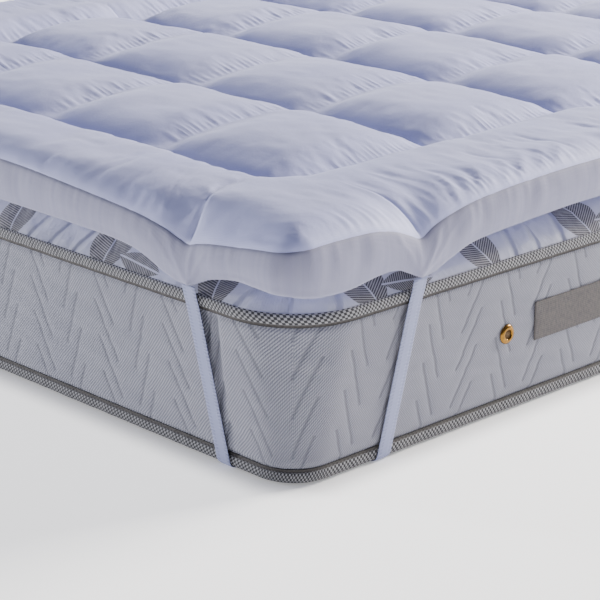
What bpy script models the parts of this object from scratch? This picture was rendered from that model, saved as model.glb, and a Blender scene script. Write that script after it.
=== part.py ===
"""A stitched mattress topper, strapped by its corner elastics over a mattress.

Metres, +Z up.  The origin is on the floor under the middle of the mattress, X runs across its
width and Y along its length.  A stuffed border roll runs all round; inside it, deep seams run
across X and softer ones along Y.  Each corner repeats the same shape, mirrored.
"""
import math

import bmesh
import bpy
from mathutils import Vector

# ---- driving dimensions ------------------------------------------------------------------

WIDTH = 1.58                    # mattress, across X
LENGTH = 1.98                   # mattress, along Y
GAP = 0.0003                    # between pieces that touch

# mattress heights
UNDERSIDE_LIFT = 0.0028         # how far the rim of the underside stands off the floor
TAPE_HEIGHT = 0.0195            # each edge tape, its dark flange with it
TOP_TAPE_TOP = 0.2305
TABLE_TOP = 0.281               # the flat middle of the top panel
CORNER_ARC_STEPS = 8

# topper plan
COLUMNS = 6                     # across X, the border rolls with them
ROWS = 7                        # along Y, the border rolls with them
BORDER_COLUMN = 0.232           # mattress side to the first seam, across X
BORDER_ROW = 0.205              # mattress end to the first seam, along Y
OVERHANG = 0.006                # the pad stands this far past the mattress sides
CELLS = 8                       # mesh cells across one pocket
SEAM_CROWDING = 0.6             # how much closer together the mesh lines lie beside the seams
PAD_CORNER_RADIUS = 0.040
HALF_X = WIDTH / 2 + OVERHANG
HALF_Y = LENGTH / 2 + OVERHANG

# topper heights
SEAM_HEIGHT = 0.319             # the deep seams that run across X, nearest the edge
DOME = 0.009                    # the middle of the topper lies higher on the crowned mattress
DOME_REACH = 0.55
CROWN = 0.042                   # the middle of a row above its seams
SEAM_STEEPNESS = 0.58           # below 1 the cloth leaves its seams steeply
CROWN_FLATNESS = 2.2            # above 2 the middle of a row is flatter
CROWN_UNEVENNESS = 0.05         # share of the crown by which the stuffing differs,
STUFFING_WAVE_X = 7.0           # in waves of so many radians a metre
STUFFING_WAVE_Y = 6.0
EDGE_FADE = 0.11                # how far inward the edge's ups and downs reach
SEAM_FADE = 0.035               # the deep seams end over twice this length,
SEAM_END = 0.018                # past the inner edge of the long border rolls
FURROW_FRONT = 0.52             # depth of the soft seams along Y, as a share of the crown,
FURROW_BACK = 0.12              # at a pocket's -Y and +Y ends
FURROW_FALL = 1.5               # above 1 the furrow stays deep past the pocket's -Y end
BORDER_FURROW = 0.26            # added where they part the long border rolls from the pockets
FURROW_WIDTH = 0.070            # half width of that soft valley
MITRE_SOFTNESS = 0.13           # rounds the ridge where two border rolls meet
CREASE_DEPTH = 0.24             # share of the crown that an elastic draws down along its crease
CREASE_WIDTH = 0.032
CREASE_LENGTH = 0.14

# side band
BAND_THICKNESS = 0.0015
BAND_BULGE = 0.006
PULL_IN = 0.003                 # the elastics draw the band inward here
PULL_WIDTH = 0.045

# corner elastics
STRAP_WIDTH = 0.025
STRAP_THICKNESS = 0.0012
STRAP_OUT = 0.0031              # its middle, outward of the mattress side
STRAP_OUT_AT_HEM = 0.0042
STRAP_UNDER_HEIGHT = 0.0010     # its middle, above the floor
STRAP_BEND_RADIUS = 0.008
STRAP_UNDER_EASE = 0.38         # how long it keeps its direction under the corner, as a share
STRAP_UNDER_STEPS = 9
STRAP_BEND_STEPS = 5

# distances from the corner at which an elastic meets the hem and the floor
STRAP_ENDS = {
    "short": {"hem": 0.197, "floor": 0.128},
    "long": {"hem": 0.234, "floor": 0.164},
}

# Edge of the topper: distance from the corner, height of the band's upper seam, height of its hem.
RIM = {
    "short": (
        (0.000, 0.3268, 0.2678),
        (0.062, 0.3201, 0.2699),
        (0.098, 0.3154, 0.2704),
        (0.147, 0.3087, 0.2606),
        (0.177, 0.3025, 0.2481),
        (0.197, 0.2978, 0.2419),
        (0.218, 0.3035, 0.2430),
        (0.243, 0.3113, 0.2502),
        (0.271, 0.3170, 0.2616),
        (0.301, 0.3211, 0.2704),
        (0.352, 0.3252, 0.2756),
        (0.435, 0.3309, 0.2771),
        (0.569, 0.3382, 0.2781),
        (0.818, 0.3402, 0.2792),
    ),
    "long": (
        (0.000, 0.3268, 0.2678),
        (0.049, 0.3294, 0.2611),
        (0.098, 0.3294, 0.2606),
        (0.149, 0.3268, 0.2673),
        (0.184, 0.3190, 0.2668),
        (0.210, 0.3087, 0.2564),
        (0.234, 0.2999, 0.2461),
        (0.256, 0.3113, 0.2481),
        (0.282, 0.3206, 0.2590),
        (0.326, 0.3304, 0.2740),
        (0.373, 0.3356, 0.2792),
        (0.445, 0.3402, 0.2833),
        (0.569, 0.3439, 0.2880),
        (1.025, 0.3444, 0.2885),
    ),
}

# Mattress sections from the floor up: height, inset from the nominal side, corner radius.
MATTRESS_SECTIONS = (
    (0.0000, 0.1700, 0.062),
    (UNDERSIDE_LIFT, 0.1300, 0.062),
    (0.0035, 0.0140, 0.062),
    (0.0075, 0.0035, 0.062),
    (0.0250, 0.0035, 0.062),
    (0.0280, 0.0000, 0.064),
    (0.2075, 0.0000, 0.112),
    (0.2105, 0.0035, 0.114),
    (TOP_TAPE_TOP, 0.0035, 0.114),
    (0.2400, 0.0120, 0.114),
    (0.2575, 0.0350, 0.114),
    (0.2730, 0.0800, 0.114),
    (TABLE_TOP, 0.1600, 0.114),
)
SHOULDER_INSETS = (0.0350, 0.0800, 0.1600)      # sections that the pad's underside follows
LEAST_RADIUS = 0.030
TAPE_SEAT = 0.0035                              # inset of the side behind both tapes
TAPE_RADIUS = {"tape_top": 0.114, "tape_bottom": 0.062}
TAPE_BASE = {"tape_top": TOP_TAPE_TOP - TAPE_HEIGHT, "tape_bottom": 0.0030}

# Half section of a tape, flange to roll: distance out from its seat, height above its lower edge.
# The bottom tape is the same roll, turned over.
TAPE_SECTION = (
    (0.0000, 0.0000),
    (0.0014, 0.0000),
    (0.0017, 0.0035),
    (0.0042, 0.0055),
    (0.0053, 0.0115),
    (0.0042, 0.0172),
    (0.0016, 0.0195),
    (0.0000, 0.0195),
)

# brass vents: radius from the middle, stand-off from the border
VENT_FROM_CORNER = 0.420
VENT_HEIGHT = 0.119
VENT_STEPS = 18
VENT_PROFILE = (
    (0.0000, 0.0010),
    (0.0062, 0.0010),
    (0.0078, 0.0028),
    (0.0108, 0.0034),
    (0.0145, 0.0014),
    (0.0145, 0.0000),
    (0.0000, 0.0000),
)

# woven patch on the +X border
PATCH_FROM_CORNER = 0.480
PATCH_LENGTH = 0.200
PATCH_HEIGHT = 0.058
PATCH_BOTTOM = 0.095
PATCH_THICKNESS = 0.0012
PATCH_CORNER = 0.006


# ---- scene helpers -----------------------------------------------------------------------

for old in list(bpy.data.objects):
    bpy.data.objects.remove(old, do_unlink=True)
collection = bpy.data.collections.new("mattress_topper")
bpy.context.scene.collection.children.link(collection)


def principled(name, colour, roughness, metallic=0.0):
    """A Principled material of one colour."""
    material = bpy.data.materials.new(name)
    material.use_nodes = True
    shader = material.node_tree.nodes["Principled BSDF"]
    shader.inputs["Base Color"].default_value = (*colour, 1.0)
    shader.inputs["Roughness"].default_value = roughness
    shader.inputs["Metallic"].default_value = metallic
    return material


SATIN = principled("topper_satin", (0.62, 0.64, 0.74), 0.55)
BAND_CLOTH = principled("band_cloth", (0.50, 0.50, 0.58), 0.65)
ELASTIC = principled("elastic", (0.66, 0.68, 0.76), 0.70)
BORDER_KNIT = principled("border_knit", (0.52, 0.53, 0.56), 0.80)
CHECK_TAPE = principled("check_tape", (0.32, 0.32, 0.33), 0.75)
BRASS = principled("brass", (0.72, 0.46, 0.16), 0.28, 1.0)
PATCH_WEAVE = principled("patch_weave", (0.30, 0.27, 0.26), 0.80)


def add_object(name, mesh, material):
    """Link a mesh to the object's collection under its sub-part name."""
    thing = bpy.data.objects.new(name, mesh)
    mesh.materials.append(material)
    collection.objects.link(thing)
    return thing


def finish_mesh(name, work, material, sharp_degrees=50):
    """Turn a bmesh into a smooth-shaded object whose faces all point outward."""
    bmesh.ops.recalc_face_normals(work, faces=work.faces)
    mesh = bpy.data.meshes.new(name)
    work.to_mesh(mesh)
    work.free()
    mesh.shade_smooth()
    mesh.set_sharp_from_angle(angle=math.radians(sharp_degrees))
    return add_object(name, mesh, material)


def add_ring(work, points):
    return [work.verts.new(point) for point in points]


def bridge(work, lower, upper):
    """Triangles between two rings of as many points, split the same way on every piece."""
    count = len(lower)
    for k in range(count):
        after = (k + 1) % count
        work.faces.new((lower[k], lower[after], upper[after]))
        work.faces.new((lower[k], upper[after], upper[k]))


def fan(work, ring):
    """Close a level ring from a point in its middle."""
    centre = work.verts.new((0.0, 0.0, ring[0].co.z))
    count = len(ring)
    for k in range(count):
        work.faces.new((ring[k], ring[(k + 1) % count], centre))


# ---- small formulas ----------------------------------------------------------------------

def fade(distance, reach):
    """1 at the edge, falling smoothly to 0 at `reach`."""
    t = min(max(distance / reach, 0.0), 1.0)
    return (1.0 - t) ** 2 * (1.0 + 2.0 * t)


def table_value(rows, where, column):
    """Smooth curve through one column of a table whose first column is a distance."""
    where = min(max(where, rows[0][0]), rows[-1][0])
    k = 0
    while k < len(rows) - 2 and rows[k + 1][0] < where:
        k += 1

    def slope(index):
        low = rows[max(index - 1, 0)]
        high = rows[min(index + 1, len(rows) - 1)]
        return (high[column] - low[column]) / (high[0] - low[0])

    start, end = rows[k], rows[k + 1]
    span = end[0] - start[0]
    t = (where - start[0]) / span
    rise = (2 * t ** 3 - 3 * t ** 2 + 1) * start[column] + (3 * t ** 2 - 2 * t ** 3) * end[column]
    lean = (t ** 3 - 2 * t ** 2 + t) * slope(k) + (t ** 3 - t ** 2) * slope(k + 1)
    return rise + span * lean


def rim_height(side, from_corner, part):
    """Height of the band's upper seam or of its hem at a distance from the corner."""
    column = {"seam": 1, "hem": 2}[part]
    return table_value(RIM[side], from_corner, column)


def seam_positions(half, border, count):
    """Where the seams lie across one direction, both edges with them."""
    inner = half - OVERHANG - border
    pitch = 2 * inner / (count - 2)
    middle = [-inner + pitch * k for k in range(count - 1)]
    return [-half] + middle + [half]


SEAMS_X = seam_positions(HALF_X, BORDER_COLUMN, COLUMNS)
SEAMS_Y = seam_positions(HALF_Y, BORDER_ROW, ROWS)


def cell_share(step):
    """Where a mesh line crosses a pocket, 0 to 1, closer together beside the seams."""
    even = step / CELLS
    rounded = 0.5 - 0.5 * math.cos(math.pi * even)
    return (1.0 - SEAM_CROWDING) * even + SEAM_CROWDING * rounded


def mesh_lines(seams):
    """Mesh lines across one direction, as (position, share of the pocket passed)."""
    lines = []
    for pocket in range(len(seams) - 1):
        for step in range(CELLS):
            share = cell_share(step)
            lines.append((seams[pocket] + share * (seams[pocket + 1] - seams[pocket]), share))
    lines.append((seams[-1], 1.0))
    return lines


def pillow(share):
    """Cross-section of a stuffed pocket: 0 at both seams, 1 in the middle."""
    return max(1.0 - abs(2.0 * share - 1.0) ** CROWN_FLATNESS, 0.0) ** SEAM_STEEPNESS


# ---- topper: plan and heights ------------------------------------------------------------

def lean(place, seams, foot, to_edge):
    """How far the stitching plan shifts outward so that the first seam ends at an elastic.

    `seams` lie across the direction of `place`; `foot` is the elastic's distance from the corner.
    """
    second, first, edge = seams[-3:]
    place = abs(place)
    if place < first:
        share = max((place - second) / (first - second), 0.0)
    else:
        share = (edge - place) / (edge - first)
    return (edge - OVERHANG - first - foot) * share * fade(to_edge, EDGE_FADE)


def pull_in(from_strap):
    """How far an elastic draws the edge inward, at a distance along the edge."""
    return PULL_IN * math.exp(-(from_strap / PULL_WIDTH) ** 2)


def round_corner(x, y):
    """Move a point of the square corner onto the rounded one."""
    in_x = PAD_CORNER_RADIUS - (HALF_X - abs(x))
    in_y = PAD_CORNER_RADIUS - (HALF_Y - abs(y))
    if in_x <= 0.0 or in_y <= 0.0:
        return x, y
    shrink = 1.0 - max(in_x, in_y) / math.hypot(in_x, in_y)
    return x - math.copysign(in_x * shrink, x), y - math.copysign(in_y * shrink, y)


def plan_point(x, y):
    """Where a point of the even stitching plan really lies."""
    to_side, to_end = HALF_X - abs(x), HALF_Y - abs(y)
    lean_x = lean(x, SEAMS_X, STRAP_ENDS["short"]["hem"], to_end)
    lean_y = lean(y, SEAMS_Y, STRAP_ENDS["long"]["hem"], to_side)
    x += math.copysign(1.0, x) * lean_x
    y += math.copysign(1.0, y) * lean_y
    inward_y = pull_in(WIDTH / 2 - abs(x) - STRAP_ENDS["short"]["hem"]) * fade(to_end, EDGE_FADE)
    inward_x = pull_in(LENGTH / 2 - abs(y) - STRAP_ENDS["long"]["hem"]) * fade(to_side, EDGE_FADE)
    x, y = round_corner(x, y)
    return x - math.copysign(inward_x, x), y - math.copysign(inward_y, y)


def edge_height(x, y, to_side, to_end):
    """Height of the stitching level: level inside, following the rim's waves near the edge."""
    near_side, near_end = fade(to_side, EDGE_FADE), fade(to_end, EDGE_FADE)
    along_side = rim_height("long", LENGTH / 2 - abs(y), "seam") - SEAM_HEIGHT
    along_end = rim_height("short", WIDTH / 2 - abs(x), "seam") - SEAM_HEIGHT
    at_corner = RIM["long"][0][1] - SEAM_HEIGHT
    mixed = along_side * near_side + along_end * near_end - at_corner * near_side * near_end
    dome = DOME * (1.0 - fade(to_side, DOME_REACH)) * (1.0 - fade(to_end, DOME_REACH))
    return SEAM_HEIGHT + mixed + dome


def soft_least(one, two):
    """The smaller of two shares, its turning point rounded."""
    return (one + two - math.sqrt((one - two) ** 2 + MITRE_SOFTNESS ** 2)) / 2


def crease(x, y):
    """Share of the crown left beside the creases that run inward from the two elastics."""
    aside_x, aside_y = abs(abs(x) - SEAMS_X[-2]), abs(abs(y) - SEAMS_Y[-2])
    from_end = fade(HALF_Y - abs(y), CREASE_LENGTH) * fade(aside_x, CREASE_WIDTH)
    from_side = fade(HALF_X - abs(x), CREASE_LENGTH) * fade(aside_y, CREASE_WIDTH)
    return (1.0 - CREASE_DEPTH * from_end) * (1.0 - CREASE_DEPTH * from_side)


def furrow(x, y, share_y):
    """Share of the crown left beside the soft seams along Y; the short border rolls have none."""
    nearest = min(SEAMS_X[1:-1], key=lambda seam: abs(x - seam))
    depth = FURROW_FRONT + (FURROW_BACK - FURROW_FRONT) * share_y ** FURROW_FALL
    if nearest in (SEAMS_X[1], SEAMS_X[-2]):
        depth += BORDER_FURROW
    starts = 1.0 - fade(LENGTH / 2 - abs(y) - BORDER_ROW + SEAM_FADE, 2 * SEAM_FADE)
    return 1.0 - depth * starts * fade(abs(x - nearest), FURROW_WIDTH)


def deep_seam(x, share):
    """Share of the crown left beside the deep seams, which fade out in the long border rolls."""
    to_fade = WIDTH / 2 - abs(x) - BORDER_COLUMN + SEAM_END + SEAM_FADE
    return 1.0 - (1.0 - pillow(share)) * (1.0 - fade(to_fade, 2 * SEAM_FADE))


def outer_half(share):
    """The rise of a border roll from the band; level past its middle."""
    return pillow(min(share, 0.5))


def crown_share(x, y, share_y):
    """Height above the stitching level, as a share of the crown."""
    in_roll_x = (HALF_X - abs(x)) / (BORDER_COLUMN + OVERHANG)
    in_roll_y = (HALF_Y - abs(y)) / (BORDER_ROW + OVERHANG)
    rise = soft_least(outer_half(in_roll_x), outer_half(in_roll_y))
    if in_roll_y >= 1.0:
        rise *= deep_seam(x, share_y)
    elif in_roll_y > 0.5:
        rise *= deep_seam(x, in_roll_y)
    rise *= furrow(x, y, share_y) * crease(x, y)
    return max(rise, 0.0)


def border_walk(last_i, last_j):
    """Grid indices round the outline, anticlockwise seen from above."""
    walk = [(i, 0) for i in range(last_i)]
    walk += [(last_i, j) for j in range(last_j)]
    walk += [(i, last_j) for i in range(last_i, 0, -1)]
    walk += [(0, j) for j in range(last_j, 0, -1)]
    return walk


def outward_normals(outline):
    """Level unit vectors pointing out of a closed outline that runs anticlockwise."""
    normals = []
    for k, point in enumerate(outline):
        before, after = outline[k - 1], outline[(k + 1) % len(outline)]
        normals.append(Vector((after.y - before.y, before.x - after.x, 0.0)).normalized())
    return normals


LINES_X = mesh_lines(SEAMS_X)
LINES_Y = mesh_lines(SEAMS_Y)
WALK = border_walk(len(LINES_X) - 1, len(LINES_Y) - 1)


def top_point(i, j):
    """A point of the pad's upper surface."""
    x = LINES_X[i][0]
    y, share_y = LINES_Y[j]
    place_x, place_y = plan_point(x, y)
    level = edge_height(place_x, place_y, HALF_X - abs(x), HALF_Y - abs(y))
    uneven = math.sin(STUFFING_WAVE_X * (x + WIDTH / 6)) * math.cos(STUFFING_WAVE_Y * y)
    crown = CROWN * (1.0 + CROWN_UNEVENNESS * uneven) * crown_share(x, y, share_y)
    return Vector((place_x, place_y, level + crown))


def hem_below(point, j):
    """Height of the hem below a point of the pad's outline, given the outline point's row line."""
    if j in (0, len(LINES_Y) - 1):
        return rim_height("short", WIDTH / 2 - abs(point.x), "hem")
    return rim_height("long", LENGTH / 2 - abs(point.y), "hem")


SEAM_LINE = [top_point(i, j) for i, j in WALK]
HEM_HEIGHTS = [hem_below(point, j) for point, (i, j) in zip(SEAM_LINE, WALK)]
EDGE_NORMALS = outward_normals(SEAM_LINE)


def edge_rings(out):
    """Hem, middle and upper ring of the pad's side, moved outward."""
    hem, middle, upper = [], [], []
    for seam, hem_height, normal in zip(SEAM_LINE, HEM_HEIGHTS, EDGE_NORMALS):
        foot = Vector((seam.x, seam.y, hem_height))
        hem.append(foot + normal * out)
        middle.append((seam + foot) / 2 + normal * (out + BAND_BULGE))
        upper.append(seam + normal * out)
    return hem, middle, upper


def underside_ring(inset):
    """Ring of the pad's underside, just clear of the mattress's shoulder."""
    section = next(row for row in MATTRESS_SECTIONS if row[1] == inset)
    droop = (TABLE_TOP - section[0]) / (TABLE_TOP - TOP_TAPE_TOP)
    reach = inset + OVERHANG
    rest = TABLE_TOP + GAP
    ring = []
    for (i, j), hem_height in zip(WALK, HEM_HEIGHTS):
        x = LINES_X[i][0] * (HALF_X - reach) / HALF_X
        y = LINES_Y[j][0] * (HALF_Y - reach) / HALF_Y
        ring.append(Vector((x, y, rest + (hem_height - rest) * droop)))
    return ring


def make_pad():
    work = bmesh.new()
    grid = [[work.verts.new(top_point(i, j)) for j in range(len(LINES_Y))] for i in range(len(LINES_X))]
    for i in range(len(LINES_X) - 1):
        for j in range(len(LINES_Y) - 1):
            work.faces.new((grid[i][j], grid[i + 1][j], grid[i + 1][j + 1], grid[i][j + 1]))
    hem, middle, _upper = edge_rings(0.0)
    outline = [grid[i][j] for i, j in WALK]
    previous = outline
    for points in [middle, hem] + [underside_ring(inset) for inset in SHOULDER_INSETS]:
        ring = add_ring(work, points)
        bridge(work, ring, previous)
        previous = ring
    fan(work, previous)
    return finish_mesh("topper_pad", work, SATIN)


def make_band():
    """The strip sewn round the pad: the pad's side, moved out, with a thickness."""
    work = bmesh.new()
    inner = [add_ring(work, ring) for ring in edge_rings(GAP)]
    outer = [add_ring(work, ring) for ring in edge_rings(GAP + BAND_THICKNESS)]
    for face in (inner, outer):
        for lower, upper in zip(face, face[1:]):
            bridge(work, lower, upper)
    bridge(work, outer[0], inner[0])
    bridge(work, outer[-1], inner[-1])
    return finish_mesh("side_band", work, BAND_CLOTH)


# ---- mattress ----------------------------------------------------------------------------

def rounded_outline(inset, radius, height):
    """Level rounded rectangle, anticlockwise, inset from the mattress's nominal sides."""
    bend = max(radius - inset, LEAST_RADIUS)
    centre_x = WIDTH / 2 - inset - bend
    centre_y = LENGTH / 2 - inset - bend
    points = []
    for quarter, (sign_x, sign_y) in enumerate(((1, 1), (-1, 1), (-1, -1), (1, -1))):
        for step in range(CORNER_ARC_STEPS + 1):
            angle = math.pi / 2 * (quarter + step / CORNER_ARC_STEPS)
            x = sign_x * centre_x + bend * math.cos(angle)
            y = sign_y * centre_y + bend * math.sin(angle)
            points.append(Vector((x, y, height)))
    return points


def make_mattress():
    work = bmesh.new()
    rings = []
    for height, inset, radius in MATTRESS_SECTIONS:
        rings.append(add_ring(work, rounded_outline(inset, radius, height)))
    for lower, upper in zip(rings, rings[1:]):
        bridge(work, lower, upper)
    fan(work, rings[0])
    fan(work, rings[-1])
    return finish_mesh("mattress", work, BORDER_KNIT)


def make_tape(name):
    """One edge tape: its section swept round the mattress, flange towards the border."""
    work = bmesh.new()
    rings = []
    for out, rise in TAPE_SECTION:
        level = rise if name == "tape_top" else TAPE_HEIGHT - rise
        height = TAPE_BASE[name] + level
        inset = TAPE_SEAT - GAP - out
        rings.append(add_ring(work, rounded_outline(inset, TAPE_RADIUS[name], height)))
    for k, ring in enumerate(rings):
        bridge(work, ring, rings[(k + 1) % len(rings)])
    return finish_mesh(name, work, CHECK_TAPE)


def make_vent(name, side, end):
    """A brass vent, turned about its own axis and set on the border."""
    mesh = bpy.data.meshes.new(name)
    points = [(radius, 0.0, out) for radius, out in VENT_PROFILE]
    mesh.from_pydata(points, [(k, k + 1) for k in range(len(points) - 1)], [])
    vent = add_object(name, mesh, BRASS)
    screw = vent.modifiers.new("turned", "SCREW")
    screw.steps = VENT_STEPS
    screw.render_steps = VENT_STEPS
    screw.use_merge_vertices = True
    screw.merge_threshold = 0.00001
    vent.location = (side * (WIDTH / 2 + GAP), end * (LENGTH / 2 - VENT_FROM_CORNER), VENT_HEIGHT)
    vent.rotation_euler = (0.0, side * math.pi / 2, 0.0)
    return vent


def make_patch():
    """The bare woven patch, a thin plate with softened corners on the +X border."""
    work = bmesh.new()
    bmesh.ops.create_cube(work, size=1.0)
    bmesh.ops.scale(work, vec=(PATCH_THICKNESS, PATCH_LENGTH, PATCH_HEIGHT), verts=work.verts)
    across = [edge for edge in work.edges if abs(edge.verts[0].co.x - edge.verts[1].co.x) > GAP]
    bmesh.ops.bevel(work, geom=across, offset=PATCH_CORNER, segments=3, affect="EDGES", profile=0.5)
    patch = finish_mesh("patch", work, PATCH_WEAVE)
    patch.location = (
        WIDTH / 2 + GAP + PATCH_THICKNESS / 2,
        -LENGTH / 2 + PATCH_FROM_CORNER + PATCH_LENGTH / 2,
        PATCH_BOTTOM + PATCH_HEIGHT / 2,
    )
    return patch


# ---- corner elastics ---------------------------------------------------------------------

BEND_LENGTH = STRAP_BEND_RADIUS * math.pi / 2
BEND_START = STRAP_OUT - STRAP_BEND_RADIUS      # outward place of the bend's centre, negative: inboard
BEND_TOP = STRAP_UNDER_HEIGHT + STRAP_BEND_RADIUS


def wrapped(run):
    """Outward place, height and outward direction of the elastic at a length up its run.

    The run is 0 where the elastic leaves the flat under the mattress.
    """
    if run < BEND_LENGTH:
        angle = run / STRAP_BEND_RADIUS
        out = BEND_START + STRAP_BEND_RADIUS * math.sin(angle)
        height = BEND_TOP - STRAP_BEND_RADIUS * math.cos(angle)
        return out, height, (math.sin(angle), -math.cos(angle))
    height = BEND_TOP + run - BEND_LENGTH
    away = 1.0 - fade(height - TOP_TAPE_TOP + TAPE_HEIGHT, TAPE_HEIGHT)
    return STRAP_OUT + (STRAP_OUT_AT_HEM - STRAP_OUT) * away, height, (1.0, 0.0)


def strap_top(side):
    """Height of the elastic's upper end, just under the lowest part of the hem above it."""
    middle = STRAP_ENDS[side]["hem"]
    reach = [middle + STRAP_WIDTH * (step / 4 - 0.5) for step in range(5)]
    return min(rim_height(side, place, "hem") for place in reach) - GAP


def side_stations(side):
    """Level stations up one mattress side, as pairs of (along, out, height, facing)."""
    ends = STRAP_ENDS[side]
    top_run = strap_top(side) - BEND_TOP + BEND_LENGTH
    slant = math.atan((ends["hem"] - ends["floor"]) / top_run)
    runs = [BEND_LENGTH * k / STRAP_BEND_STEPS for k in range(STRAP_BEND_STEPS + 1)]
    tape_low = TOP_TAPE_TOP - TAPE_HEIGHT - BEND_TOP + BEND_LENGTH
    runs += [tape_low / 2, tape_low, (tape_low + top_run) / 2, top_run]
    stations = []
    for run in runs:
        middle = ends["floor"] + run * math.tan(slant)
        half_level = STRAP_WIDTH / 2 / math.cos(slant)
        out, height, direction = wrapped(run)
        edges = (middle - half_level, middle + half_level)
        stations.append([(along, out, height, direction) for along in edges])
    return stations, slant


def corner_strap(name, sign_x, sign_y):
    """One elastic: up the short side, under the corner and up the long side."""

    def place(from_side, from_end, height):
        return Vector((sign_x * (WIDTH / 2 - from_side), sign_y * (LENGTH / 2 - from_end), height))

    sections = []
    short, short_slant = side_stations("short")
    for pair in reversed(short):
        section = []
        for along, out, height, (push, lift) in pair:
            for depth in (-STRAP_THICKNESS / 2, STRAP_THICKNESS / 2):
                section.append(place(along, -out - push * depth, height + lift * depth))
        sections.append(section)

    long, long_slant = side_stations("long")
    start = Vector((STRAP_ENDS["short"]["floor"], -BEND_START))
    end = Vector((-BEND_START, STRAP_ENDS["long"]["floor"]))
    handle = (end - start).length * STRAP_UNDER_EASE
    leave = start + handle * Vector((-math.sin(short_slant), math.cos(short_slant)))
    arrive = end + handle * Vector((math.cos(long_slant), -math.sin(long_slant)))
    for step in range(1, STRAP_UNDER_STEPS):
        t = step / STRAP_UNDER_STEPS
        back = 1.0 - t
        middle = back ** 3 * start + 3 * back ** 2 * t * leave + 3 * back * t ** 2 * arrive + t ** 3 * end
        heading = back ** 2 * (leave - start) + 2 * back * t * (arrive - leave) + t ** 2 * (end - arrive)
        heading.normalize()
        across = Vector((heading.y, -heading.x)) * STRAP_WIDTH / 2
        section = []
        for sign in (-1, 1):
            point = middle + across * sign
            for depth in (STRAP_THICKNESS / 2, -STRAP_THICKNESS / 2):
                section.append(place(point.x, point.y, STRAP_UNDER_HEIGHT + depth))
        sections.append(section)

    for pair in long:
        section = []
        for along, out, height, (push, lift) in pair:
            for depth in (-STRAP_THICKNESS / 2, STRAP_THICKNESS / 2):
                section.append(place(-out - push * depth, along, height + lift * depth))
        sections.append(section)

    work = bmesh.new()
    rings = []
    for near_in, near_out, far_in, far_out in sections:
        rings.append(add_ring(work, (near_in, near_out, far_out, far_in)))
    for one, two in zip(rings, rings[1:]):
        bridge(work, one, two)
    work.faces.new(rings[0])
    work.faces.new(rings[-1])
    return finish_mesh(name, work, ELASTIC)


# ---- build -------------------------------------------------------------------------------

make_mattress()
make_tape("tape_top")
make_tape("tape_bottom")
make_pad()
make_band()
make_patch()
CORNERS = ((1, -1), (1, 1), (-1, 1), (-1, -1))
for number, (sign_x, sign_y) in enumerate(CORNERS, start=1):
    corner_strap(f"strap_{number}", sign_x, sign_y)
    make_vent(f"vent_{number}", sign_x, sign_y)
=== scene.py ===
"""Looks of a stitched mattress topper strapped over a mattress.

Metres, +Z up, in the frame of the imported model.  The topper is one stuffed cloth whose soft seams
pucker; a plain band runs round its edge, and a flat elastic passes under each mattress corner.
"""
import math

import bpy
import numpy as np
from mathutils import Matrix, Vector


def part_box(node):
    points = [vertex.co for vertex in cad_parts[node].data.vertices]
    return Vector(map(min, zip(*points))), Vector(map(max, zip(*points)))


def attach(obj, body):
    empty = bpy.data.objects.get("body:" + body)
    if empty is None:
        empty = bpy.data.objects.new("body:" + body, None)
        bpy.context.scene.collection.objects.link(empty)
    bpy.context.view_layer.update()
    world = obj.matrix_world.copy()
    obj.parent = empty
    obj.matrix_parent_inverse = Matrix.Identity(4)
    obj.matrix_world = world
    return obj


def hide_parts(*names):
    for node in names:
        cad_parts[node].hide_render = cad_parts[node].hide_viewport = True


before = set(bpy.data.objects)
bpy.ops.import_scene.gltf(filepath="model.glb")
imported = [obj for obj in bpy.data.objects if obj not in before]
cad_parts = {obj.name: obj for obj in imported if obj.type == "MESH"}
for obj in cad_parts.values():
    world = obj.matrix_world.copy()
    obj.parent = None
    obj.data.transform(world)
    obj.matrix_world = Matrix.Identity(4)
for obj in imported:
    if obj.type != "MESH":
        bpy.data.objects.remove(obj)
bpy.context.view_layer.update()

# ---- sizes from the frame ----------------------------------------------------------------

MATTRESS_LOW, MATTRESS_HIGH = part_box("mattress")
WIDTH = MATTRESS_HIGH.x - MATTRESS_LOW.x
LENGTH = MATTRESS_HIGH.y - MATTRESS_LOW.y
TABLE_TOP = MATTRESS_HIGH.z
TOP_TAPE_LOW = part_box("tape_top")[0].z
TOP_TAPE_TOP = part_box("tape_top")[1].z
BOTTOM_TAPE_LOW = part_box("tape_bottom")[0].z
BOTTOM_TAPE_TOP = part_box("tape_bottom")[1].z
GAP = 0.0003

# ---- topper, the same plan as the solid ---------------------------------------------------

BORDER_COLUMN = 0.232           # mattress side to the first seam, across X
BORDER_ROW = 0.205              # mattress end to the first seam, along Y
COLUMNS = 6
ROWS = 7
OVERHANG = 0.006
PAD_CORNER_RADIUS = 0.040
HALF_X = WIDTH / 2 + OVERHANG
HALF_Y = LENGTH / 2 + OVERHANG
SEAM_HEIGHT = 0.319
DOME = 0.009
DOME_REACH = 0.55
CROWN = 0.042
SEAM_STEEPNESS = 0.58
ROLL_STEEPNESS = 0.74           # the long border rolls leave the band less steeply,
END_ROLL_STEEPNESS = 0.80       # and the short ones are rounder
CROWN_FLATNESS = 2.2
CROWN_UNEVENNESS = 0.05
STUFFING_WAVE_X = 7.0
STUFFING_WAVE_Y = 6.0
EDGE_FADE = 0.11
DIP_FADE = 0.060                # the dips at the elastics reach less far inward
DIP_LOW, DIP_HIGH = 0.300, 0.330
SEAM_FADE = 0.035
SEAM_END = 0.018
FURROW_FRONT = 0.52
FURROW_BACK = 0.12
FURROW_FALL = 1.5
BORDER_FURROW = 0.26
FURROW_WIDTH = 0.070
FURROW_SHARPNESS = 0.55         # share of the furrow that comes to a sharp line at its seam
FURROW_POINT = 2.2
MITRE_SOFTNESS = 0.13
CREASE_DEPTH = 0.05
CREASE_WIDTH = 0.045
CREASE_LENGTH = 0.14
PULL_IN = 0.003
PULL_WIDTH = 0.045
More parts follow.
